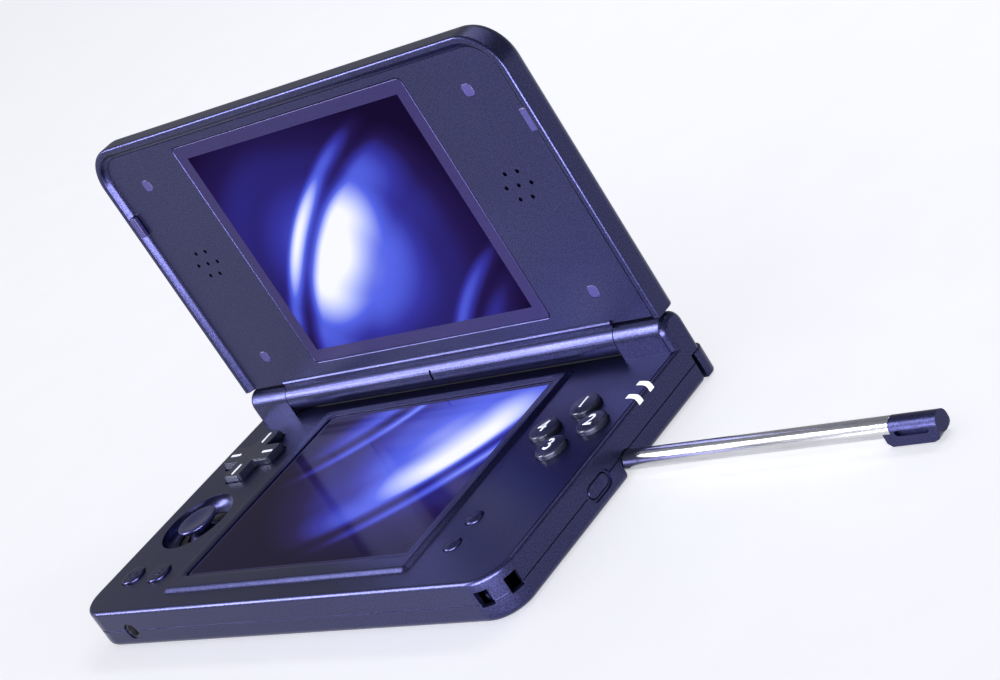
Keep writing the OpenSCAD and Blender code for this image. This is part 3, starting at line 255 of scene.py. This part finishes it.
def picture_plane(tree, centre, upright):
    """Flat coordinates over a picture, in shares of its sides from its middle."""
    coords = add_node(tree, "ShaderNodeTexCoord")
    if upright:
        scale = (1 / PICTURE_W, 1, 1 / PICTURE_H)
        turn = (-pi / 2, 0, 0)
        shift = (-centre.x / PICTURE_W, -centre.z / PICTURE_H, 0)
    else:
        scale = (1 / PICTURE_W, 1 / PICTURE_H, 1)
        turn = (0, 0, 0)
        shift = (-centre.x / PICTURE_W, -centre.y / PICTURE_H, 0)
    plane = add_node(tree, "ShaderNodeMapping", [("Vector", coords.outputs["Object"])],
                     Location=shift, Rotation=turn, Scale=scale)
    flat = add_node(tree, "ShaderNodeVectorMath", [("Vector", plane.outputs["Vector"])],
                    operation="MULTIPLY")
    flat.inputs[1].default_value = (1, 1, 0)
    return flat


def picture_material(name, centre, upright, arc_centre, glow_centre, gloss):
    """Glowing picture: curved folds of light from deep indigo through blue to white.

    centre is the middle of the picture; upright is true for a picture in the X-Z plane. The
    arcs turn about arc_centre and the light gathers round glow_centre, both in shares of the
    picture from its middle. gloss is the strength of the reflections on it.
    """
    material, tree, shader = new_material(name, (0.0015, 0.001, 0.004), 0.0, 0.12)
    flat = picture_plane(tree, centre, upright)
    about = add_node(tree, "ShaderNodeMapping", [("Vector", flat.outputs["Vector"])],
                     Location=(-arc_centre[0], -arc_centre[1], 0))
    arcs = add_node(tree, "ShaderNodeTexWave", [("Vector", about.outputs["Vector"])],
                    wave_type="RINGS", rings_direction="Z", wave_profile="SAW", Scale=0.46,
                    Distortion=1.6, Detail=0.0, Detail_Scale=0.5, Phase_Offset=1.0)
    fold = grey_ramp(tree, arcs.outputs["Fac"], FOLD_STOPS)
    wide, tall = HALO_STRETCH
    near = add_node(tree, "ShaderNodeMapping", [("Vector", flat.outputs["Vector"])],
                    Location=(-wide * glow_centre[0], -tall * glow_centre[1], 0),
                    Scale=(wide, tall, 1))
    halo = add_node(tree, "ShaderNodeTexGradient", [("Vector", near.outputs["Vector"])],
                    gradient_type="SPHERICAL")
    spread = grey_ramp(tree, halo.outputs["Fac"], HALO_STOPS)
    # A haze keeps the darkest part of a fold faintly lit
    haze = add_node(tree, "ShaderNodeMath", [("Value", fold)], operation="MULTIPLY_ADD")
    haze.inputs[1].default_value = 0.85
    haze.inputs[2].default_value = 0.25
    both = add_node(tree, "ShaderNodeMath", [("Value", spread)], operation="MULTIPLY")
    tree.links.new(haze.outputs["Value"], both.inputs[1])
    glow = colour_ramp(tree, both.outputs["Value"], GLOW_STOPS)
    tree.links.new(glow, shader.inputs["Emission Color"])
    shader.inputs["Emission Strength"].default_value = 1.0
    shader.inputs["Specular IOR Level"].default_value = gloss
    return material


# Shapes

def new_piece(name, mesh, materials, body, smooth_angle=SHARP):
    """Turns a bmesh into a finished object at the origin that rides on a body."""
    data = bpy.data.meshes.new(name)
    mesh.to_mesh(data)
    mesh.free()
    for material in materials:
        data.materials.append(material)
    data.shade_smooth()
    data.set_sharp_from_angle(angle=radians(smooth_angle))
    piece = bpy.data.objects.new(name, data)
    bpy.context.scene.collection.objects.link(piece)
    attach(piece, body)
    return piece


def round_edges(piece, width, segments):
    """Small rounding on every sharp edge, with shading that keeps the flats flat."""
    bevel = piece.modifiers.new("edge_rounding", "BEVEL")
    bevel.width = width
    bevel.segments = segments
    bevel.limit_method = "ANGLE"
    bevel.angle_limit = radians(SHARP)
    bevel.miter_outer = "MITER_ARC"
    even = piece.modifiers.new("even_shading", "WEIGHTED_NORMAL")
    even.mode = "FACE_AREA"
    even.weight = 70
    even.keep_sharp = True


def mark_broad_edges(mesh, broad):
    """Weights the sharp edges whose ends broad picks, for the broader rounding."""
    weight = mesh.edges.layers.float.new("bevel_weight_edge")
    for edge in mesh.edges:
        if all(broad(vert.co) for vert in edge.verts) and edge.calc_face_angle(0) > radians(30):
            edge[weight] = 1


def dressed_copy(node, material, edge_mm, segments=2, broad=None, broad_mm=0, reshape=None,
                 clamp=True):
    """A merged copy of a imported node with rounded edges, which stands for it.

    broad picks the ends of the edges that get a broader rounding of their own, which clamp
    keeps from overlapping, and reshape changes the mesh before any rounding.
    """
    mesh = bmesh.new()
    mesh.from_mesh(frame["nodes"][node].data)
    bmesh.ops.remove_doubles(mesh, verts=mesh.verts, dist=MERGE)
    bmesh.ops.dissolve_limit(mesh, angle_limit=radians(0.6), verts=mesh.verts, edges=mesh.edges)
    if reshape:
        reshape(mesh)
    if broad:
        mark_broad_edges(mesh, broad)
    piece = new_piece(node + "_skin", mesh, [material], BODY_OF[node])
    if broad:
        bevel = piece.modifiers.new("broad_rounding", "BEVEL")
        bevel.width = broad_mm * MM
        bevel.segments = 3
        bevel.limit_method = "WEIGHT"
        bevel.use_clamp_overlap = clamp
    round_edges(piece, edge_mm * MM, segments)
    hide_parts(node)
    return piece


def turned(outline, centre, steps=72):
    """Solid turned about the upright line through centre from (radius, height) points."""
    mesh = bmesh.new()
    points = [mesh.verts.new((radius, 0, height)) for radius, height in outline]
    edges = [mesh.edges.new(pair) for pair in zip(points, points[1:])]
    bmesh.ops.spin(mesh, geom=points + edges, cent=(0, 0, 0), axis=(0, 0, 1), angle=2 * pi,
                   steps=steps, use_merge=True, dvec=(0, 0, 0))
    bmesh.ops.remove_doubles(mesh, verts=mesh.verts, dist=MERGE)
    bmesh.ops.recalc_face_normals(mesh, faces=mesh.faces)
    bmesh.ops.translate(mesh, verts=mesh.verts, vec=(centre.x, centre.y, 0))
    return mesh


def slab(low, high):
    """Box mesh between two corners."""
    mesh = bmesh.new()
    bmesh.ops.create_cube(mesh, size=1)
    bmesh.ops.scale(mesh, verts=mesh.verts, vec=high - low)
    bmesh.ops.translate(mesh, verts=mesh.verts, vec=(low + high) / 2)
    return mesh


def round_corners(mesh, axis, corner, segments):
    """Rounds the edges that run along one axis."""
    along = [edge for edge in mesh.edges
             if abs((edge.verts[0].co - edge.verts[1].co).normalized()[axis]) > 0.99]
    bmesh.ops.bevel(mesh, geom=along, offset=corner, offset_type="OFFSET", segments=segments,
                    profile=0.5, affect="EDGES", material=-1)


def box_middle(node):
    """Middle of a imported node's box."""
    low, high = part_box(node)
    return (low + high) / 2


def glass_pane(node, border, picture, facing):
    """Window glass with a picture set off from its border; facing is the axis it faces along."""
    low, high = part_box(node)
    middle = (low + high) / 2
    mesh = slab(low, high)
    round_corners(mesh, facing, 1.2 * MM, 6)
    # The picture spans X and whichever of Y and Z the pane doesn't face
    across = 3 - facing
    for axis, half in ((0, PICTURE_W / 2), (across, PICTURE_H / 2)):
        for side in (-1, 1):
            normal = Vector((0, 0, 0))
            normal[axis] = 1
            point = middle.copy()
            point[axis] += side * half
            everything = mesh.verts[:] + mesh.edges[:] + mesh.faces[:]
            bmesh.ops.bisect_plane(mesh, geom=everything, plane_co=point, plane_no=normal)
    for face in mesh.faces:
        offset = face.calc_center_median() - middle
        if abs(offset[0]) < PICTURE_W / 2 and abs(offset[across]) < PICTURE_H / 2:
            face.material_index = 1
    piece = new_piece(node + "_lit", mesh, [border, picture], BODY_OF[node])
    round_edges(piece, 0.16 * MM, 2)
    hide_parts(node)


def domed_button(node, material, radius, dome):
    """Round key with a rounded shoulder, a shallow dome and a flange under the housing."""
    low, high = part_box(node)
    centre = (low + high) / 2
    stem_r = 1.5 * MM
    flange_r = high.x - centre.x
    flange_foot = low.z + 0.7 * MM
    flange_top = low.z + 1.4 * MM
    shoulder = 0.55 * MM
    outline = [(0, low.z), (stem_r, low.z), (stem_r, flange_foot), (flange_r, flange_foot),
               (flange_r, flange_top), (radius, flange_top), (radius, high.z - dome - shoulder)]
    arc_steps = 6
    for i in range(1, arc_steps + 1):
        turn = pi / 2 * i / arc_steps
        outline.append((radius - shoulder * (1 - cos(turn)),
                        high.z - dome - shoulder * (1 - sin(turn))))
    crown_steps = 10
    crown = radius - shoulder
    outline += [(crown * (1 - i / crown_steps), high.z - dome * (1 - i / crown_steps) ** 2)
                for i in range(1, crown_steps + 1)]
    piece = new_piece(node + "_cap", turned(outline, centre), [material], BODY_OF[node])
    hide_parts(node)


def raised_sign(name, text, size, middle, top, body, material):
    """A plain printed numeral lying flat, its top face at the given height."""
    depth = 0.12 * MM
    curve = bpy.data.curves.new(name, "FONT")
    curve.body = text
    curve.size = size
    curve.align_x = "CENTER"
    curve.align_y = "CENTER"
    curve.extrude = depth / 2
    curve.offset = 0.005 * size
    curve.resolution_u = 4
    holder = bpy.data.objects.new(name + "_text", curve)
    bpy.context.scene.collection.objects.link(holder)
    bpy.context.view_layer.update()
    data = bpy.data.meshes.new_from_object(holder)
    bpy.data.objects.remove(holder)
    mesh = bmesh.new()
    mesh.from_mesh(data)
    bmesh.ops.remove_doubles(mesh, verts=mesh.verts, dist=0.001 * MM)
    bmesh.ops.translate(mesh, verts=mesh.verts, vec=(middle.x, middle.y, top - depth / 2))
    new_piece(name, mesh, [material], body, 30)


# Pieces

def with_bounds(faces):
    """The faces together with their edges and corners, as a bisection wants them."""
    edges = list({edge for face in faces for edge in face.edges})
    verts = list({vert for face in faces for vert in face.verts})
    return verts + edges + faces


def hollow_above_barrel(mesh):
    """Carries the barrel's round up to the foot of the bead, where the solid has a flat fairing."""
    hinge = Vector((0, 40.9, 16.2)) * MM
    barrel_r = 4.1 * MM
    valley = 1.72 * MM
    # The fairing leaves the barrel at its start and meets the bead at its end, both above the hinge
    start = 2.83 * MM
    end = 4.6 * MM
    fairing = Vector((0, -2.0, 1.316)).normalized()
    on_fairing = hinge + Vector((0, -1.8 * MM, end))
    cuts = 9

    def off_fairing(point):
        return abs((point - on_fairing).dot(fairing))

    for cut in range(cuts):
        height = hinge.z + start + (end - start) * (cut + 0.5) / cuts
        faces = [face for face in mesh.faces if face.normal.dot(fairing) > 0.9995
                 and off_fairing(face.calc_center_median()) < 0.05 * MM]
        bmesh.ops.bisect_plane(mesh, geom=with_bounds(faces), plane_co=(0, 0, height),
                               plane_no=(0, 0, 1))
    for vert in mesh.verts:
        rise = vert.co.z - hinge.z
        if off_fairing(vert.co) < 0.03 * MM and start - 0.05 * MM < rise < end - 0.02 * MM:
            round_y = sqrt(max(barrel_r ** 2 - rise ** 2, 0))
            vert.co.y = hinge.y - max(round_y, valley)
    mesh.normal_update()


def soften_rim_slope(mesh):
    """Turns the flat slope inside the lid's rim into a hollow one that runs out into the panel."""
    crest = min(vert.co.y for vert in mesh.verts)
    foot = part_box("upper_window")[0].y
    rise = crest - foot
    below_foot = 1.2 * MM
    near = 0.01 * MM
    steps = 6
    hollow = 1.9

    def on_slope(face):
        return (-0.97 < face.normal.y < -0.2
                and all(crest - near < vert.co.y < foot + below_foot for vert in face.verts)
                and any(vert.co.y < crest + near for vert in face.verts))

    geometry = with_bounds([face for face in mesh.faces if on_slope(face)])
    for step in range(1, steps):
        depth = foot + rise * step / steps
        cut = bmesh.ops.bisect_plane(mesh, geom=geometry, plane_co=(0, depth, 0), plane_no=(0, 1, 0))
        geometry = cut["geom"]
    for vert in {part for part in geometry if isinstance(part, bmesh.types.BMVert)}:
        share = (vert.co.y - foot) / rise
        if 0.01 < share < 0.99:
            vert.co.y = foot + rise * share ** hollow
    mesh.normal_update()


def dress_housings(indigo):
    """Housings and the keys moulded in their colour, each with its edge rounding in mm."""
    for node, edge_mm in (("base_top_shell", 0.16), ("base_bottom_shell", 0.16),
                          ("volume_rocker", 0.3), ("left_shoulder_button", 0.4),
                          ("right_shoulder_button", 0.4), ("stylus_head", 0.35)):
        dressed_copy(node, indigo, edge_mm)
    low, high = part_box("upper_window")
    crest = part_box("lid_outer_shell")[0].y
    margin = 0.5 * MM
    flush = 0.02 * MM

    def beside_window(point):
        return (abs(point.y - low.y) < flush and low.x - margin < point.x < high.x + margin
                and low.z - margin < point.z < high.z + margin)

    def on_crest(point):
        return abs(point.y - crest) < flush

    dressed_copy("lid_inner_panel", indigo, 0.14, broad=beside_window, broad_mm=0.4,
                 reshape=hollow_above_barrel)
    dressed_copy("lid_outer_shell", indigo, 0.2, broad=on_crest, broad_mm=0.35,
                 reshape=soften_rim_slope, clamp=False)


def raised_ring(name, middle, top, ring_r, line, body, material):
    """A plain ring standing a little above a flat key."""
    inner_r = ring_r - line / 2
    outer_r = ring_r + line / 2
    foot = top - 0.02 * MM
    rise = foot + 0.1 * MM
    outline = [(inner_r, foot), (outer_r, foot), (outer_r, rise), (inner_r, rise), (inner_r, foot)]
    new_piece(name, turned(outline, middle, 36), [material], body, 30)


def flat_bar(long, wide, corner):
    """A thin bar about the origin with rounded ends."""
    half = Vector((long / 2, wide / 2, 0.05 * MM))
    mesh = slab(-half, half)
    round_corners(mesh, 2, corner, 4)
    return mesh


def dress_face_buttons(keys, ink):
    """Four domed face buttons with plain numerals."""
    for number in range(1, 5):
        node = f"face_button_{number}"
        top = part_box(node)[1].z
        domed_button(node, keys, 4.1 * MM, 0.25 * MM)
        raised_sign(f"numeral_{number}", str(number), 5.6 * MM, box_middle(node), top + 0.03 * MM,
                    node, ink)


def dress_small_buttons(indigo):
    """Start, select and function buttons; a plain ring or two plain bars mark the last two."""
    for node, radius, dome in (("start_button", 2.35 * MM, 0.25 * MM),
                               ("select_button", 2.35 * MM, 0.25 * MM),
                               ("function_button_left", 3.5 * MM, 0.04 * MM),
                               ("function_button_right", 3.5 * MM, 0.04 * MM)):
        domed_button(node, indigo, radius, dome)
    node = "function_button_left"
    raised_ring("plain_ring_left", box_middle(node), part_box(node)[1].z, 1.3 * MM, 0.5 * MM, node,
                indigo)
    node = "function_button_right"
    middle = box_middle(node)
    bar_wide = 0.6 * MM
    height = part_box(node)[1].z + 0.03 * MM
    for name, step in (("upper", 0.75 * MM), ("lower", -0.75 * MM)):
        bar = flat_bar(2.6 * MM, bar_wide, 0.45 * bar_wide)
        bmesh.ops.translate(bar, verts=bar.verts, vec=(middle.x, middle.y + step, height))
        new_piece(f"plain_bar_{name}", bar, [indigo], node, 30)


def dress_direction_pad(keys, ink):
    """Cross-shaped pad with a white tick near the end of each arm."""
    dressed_copy("direction_pad", keys, 0.3, 3)
    centre = box_middle("direction_pad")
    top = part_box("direction_pad")[1].z
    reach = 6.9 * MM
    on_top = Matrix.Translation((centre.x, centre.y, top))
    outward = Matrix.Translation((reach, 0, 0))
    for turns, name in enumerate(("right", "back", "left", "front")):
        tick = flat_bar(4.3 * MM, 0.9 * MM, 0.3 * MM)
        turn = Matrix.Rotation(turns * pi / 2, 4, "Z")
        bmesh.ops.transform(tick, verts=tick.verts, matrix=on_top @ turn @ outward)
        new_piece(f"pad_tick_{name}", tick, [ink], "direction_pad")


def power_sign(ink):
    """Ring with a gap and a bar on the power button."""
    ring_r = 1.05 * MM
    line = 0.26 * MM
    thick = 0.06 * MM
    bar_long = 1.1 * MM
    bar_up = 0.75 * MM
    sign_z = 5.6 * MM
    gap = radians(70)
    start = pi / 2 + gap / 2
    mesh = bmesh.new()
    first = [mesh.verts.new((r * cos(start), r * sin(start), z))
             for r, z in ((ring_r - line / 2, 0), (ring_r + line / 2, 0),
                          (ring_r + line / 2, thick), (ring_r - line / 2, thick))]
    face = mesh.faces.new(first)
    bmesh.ops.spin(mesh, geom=[face] + first + face.edges[:], cent=(0, 0, 0), axis=(0, 0, 1),
                   angle=2 * pi - gap, steps=28, dvec=(0, 0, 0))
    bmesh.ops.recalc_face_normals(mesh, faces=mesh.faces)
    bar = bmesh.ops.create_cube(mesh, size=1)["verts"]
    bmesh.ops.scale(mesh, verts=bar, vec=(line, bar_long, thick))
    bmesh.ops.translate(mesh, verts=bar, vec=(0, bar_up, thick / 2))
    # Turns the sign to face along +X with its bar upward
    facing_right = Matrix(((0, 0, 1), (1, 0, 0), (0, 1, 0))).to_4x4()
    place = Matrix.Translation((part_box("power_button")[1].x, box_middle("power_button").y, sign_z))
    bmesh.ops.transform(mesh, verts=mesh.verts, matrix=place @ facing_right)
    new_piece("power_sign", mesh, [ink], "power_button")


def finish_plain_nodes(looks):
    """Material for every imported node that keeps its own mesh."""
    for node, thing in frame["nodes"].items():
        look = looks[SLOT_OF[node]]
        thing.data.materials.clear()
        thing.data.materials.append(look)


# Studio

def aim_camera():
    """Camera at the photograph's viewing angle, with its strong tilt; gives its own up."""
    place = Vector((0.4644, -0.3256, 0.2290))
    azimuth = radians(50.05)
    elevation = radians(19.99)
    roll = radians(-32.76)
    forward = Vector((-sin(azimuth) * cos(elevation), cos(azimuth) * cos(elevation), -sin(elevation)))
    level = forward.cross(Vector((0, 0, 1))).normalized()
    right = cos(roll) * level + sin(roll) * level.cross(forward)
    up = right.cross(forward)
    data = bpy.data.cameras.new("view")
    data.sensor_width = 36
    data.lens = 87.64
    data.shift_x = -0.0095
    data.shift_y = -0.0017
    data.clip_start = 0.01
    camera = bpy.data.objects.new("view", data)
    axes = Matrix((right, up, -forward)).transposed().to_4x4()
    camera.matrix_world = Matrix.Translation(place) @ axes
    bpy.context.scene.collection.objects.link(camera)
    bpy.context.scene.camera = camera
    return up


def soft_light(name, place, target, size, power, colour):
    """Rectangular lamp aimed from one point at another."""
    data = bpy.data.lights.new(name, "AREA")
    data.shape = "RECTANGLE"
    data.size, data.size_y = size
    data.energy = power
    data.color = colour
    lamp = bpy.data.objects.new(name, data)
    turn = (target - place).to_track_quat("-Z", "Y").to_matrix().to_4x4()
    lamp.matrix_world = Matrix.Translation(place) @ turn
    bpy.context.scene.collection.objects.link(lamp)
    return lamp


def keep_dark(lamp, thing):
    """Leaves one object out of a lamp's light."""
    unlit = lamp.light_linking.receiver_collection
    if unlit is None:
        unlit = bpy.data.collections.new("unlit_by_" + lamp.name)
        lamp.light_linking.receiver_collection = unlit
    unlit.objects.link(thing)
    unlit.collection_objects[-1].light_linking.link_state = "EXCLUDE"


def hang_lights(up):
    """Soft lamps; the three that shape the highlights come back as key, low and corner."""
    middle = Vector((0, 0, 0.03))
    away = 0.9
    # The key lies where the barrel's highlight falls 50 to 60 degrees from its top
    key = soft_light("key", middle + away * Vector((-0.72, -0.50, 0.49)), middle,
                     (0.24, 0.56), 14.0, (0.90, 0.92, 1.0))
    soft_light("top", middle + away * up, middle, (0.9, 0.16), 1.5, (0.92, 0.93, 1.0))
    # Low lamps for faces that look to the right front: the rim's slope and the strap corner
    low = soft_light("low_front", Vector((0.07, -0.16, 0.012)), Vector((-0.08, 0.04, 0.06)),
                     (0.16, 0.12), 1.5, (0.9, 0.9, 1.0))
    corner = soft_light("strap_corner", Vector((0.17, -0.12, 0.022)),
                        Vector((0.074, -0.039, 0.008)), (0.05, 0.03), 0.25, (0.9, 0.9, 1.0))
    for lamp in (low, corner):
        lamp.visible_camera = False
    return key, low, corner


def lay_floor():
    """Wide pale floor that glows a little, so that it looks nearly white."""
    mesh = bmesh.new()
    bmesh.ops.create_grid(mesh, x_segments=8, y_segments=8, size=4.0)
    data = bpy.data.meshes.new("studio_floor")
    mesh.to_mesh(data)
    mesh.free()
    pale, tree, shader = new_material("pale_floor", (0.80, 0.80, 0.81), 0.0, 0.7)
    speckle_colour(tree, shader, 40, (0.79, 0.79, 0.80), (0.81, 0.81, 0.82))
    shader.inputs["Emission Color"].default_value = (0.96, 0.97, 1.0, 1)
    shader.inputs["Emission Strength"].default_value = 0.62
    data.materials.append(pale)
    floor = bpy.data.objects.new("studio_floor", data)
    bpy.context.scene.collection.objects.link(floor)
    return floor


def build_studio(up):
    """Lamps, pale floor and pale surroundings; gives the lamp of the strap corner."""
    key, low, corner = hang_lights(up)
    floor = lay_floor()
    # The floor stays evenly pale, so the shaping lamps leave it out
    for lamp in (key, low, corner):
        keep_dark(lamp, floor)
    world = bpy.data.worlds.new("studio")
    world.use_nodes = True
    bpy.context.scene.world = world
    tree = world.node_tree
    background = tree.nodes["Background"]
    background.inputs["Color"].default_value = (0.90, 0.91, 1.0, 1)
    background.inputs["Strength"].default_value = 0.34
    bpy.context.scene.view_settings.view_transform = "Standard"
    return corner


def looks_by_slot():
    """One material for each material slot of the record."""
    return {
        "case": moulded_indigo(),
        "keys": key_plastic(),
        "ink": printed_white(),
        "screen_glass": lens_border(),
        "dark_metal": plain_plastic("display_frame", (0.02, 0.02, 0.03), 0.3),
        "board": solder_mask(),
        "battery_wrap": plain_plastic("battery_wrap", (0.05, 0.05, 0.06), 0.4),
        "soft_rubber": tinted_rubber("silicone", (0.22, 0.23, 0.26), 0.5),
        "black_rubber": tinted_rubber("foam", (0.008, 0.008, 0.010), 0.8),
        "violet_rubber": tinted_rubber("lavender_rubber", LAVENDER, 0.42),
        "black_plastic": plain_plastic("black_plastic", (0.012, 0.012, 0.015), 0.45),
        "light_guide": printed_white("light_guide", 0.35),
        "steel": drawn_metal("plain_steel", (0.42, 0.43, 0.46), 0.3, (1, 1, 6)),
        "stylus_silver": drawn_metal("stylus_silver", (0.60, 0.60, 0.61), 0.2, (0.05, 1, 1)),
        "ribbon": plain_plastic("ribbon_film", (0.30, 0.14, 0.045), 0.35),
    }


def dress_small_parts(looks, corner_lamp):
    """Pieces that only need their edges rounded, with the rounding in mm."""
    dressed_copy("power_button", looks["case"], 0.3)
    dressed_copy("thumbstick", stick_cap(), 0.2)
    dressed_copy("lid_screw_covers", looks["violet_rubber"], 0.12)
    dressed_copy("lid_bumpers", looks["violet_rubber"], 0.25)
    dressed_copy("indicator_lights", looks["light_guide"], 0.06)
    # The bright tube would throw the corner lamp's light back onto the floor
    keep_dark(corner_lamp, dressed_copy("stylus_tube", looks["stylus_silver"], 0.1))
    dressed_copy("stylus_tip", looks["black_plastic"], 0.1)
    dressed_copy("headphone_socket", looks["black_plastic"], 0.12)
    dressed_copy("charging_socket", looks["steel"], 0.08)
    dressed_copy("base_screws", looks["steel"], 0.06)


def light_screens(border):
    """Panes with their pictures: the lower one lies flat, the upper one stands upright."""
    lower = picture_material("lower_picture", box_middle("touch_panel"), upright=False,
                             arc_centre=(-1.1, 0.9), glow_centre=(0.20, 0.25), gloss=0.05)
    upper = picture_material("upper_picture", box_middle("upper_window"), upright=True,
                             arc_centre=(1.1, -1.2), glow_centre=(-0.10, -0.12), gloss=0.0)
    glass_pane("touch_panel", border, lower, 2)
    glass_pane("upper_window", border, upper, 1)


def main():
    corner_lamp = build_studio(aim_camera())
    looks = looks_by_slot()
    finish_plain_nodes(looks)
    dress_housings(looks["case"])
    dress_face_buttons(looks["keys"], looks["ink"])
    dress_small_buttons(looks["case"])
    dress_direction_pad(looks["keys"], looks["ink"])
    power_sign(looks["screen_glass"])
    dress_small_parts(looks, corner_lamp)
    light_screens(looks["screen_glass"])


main()
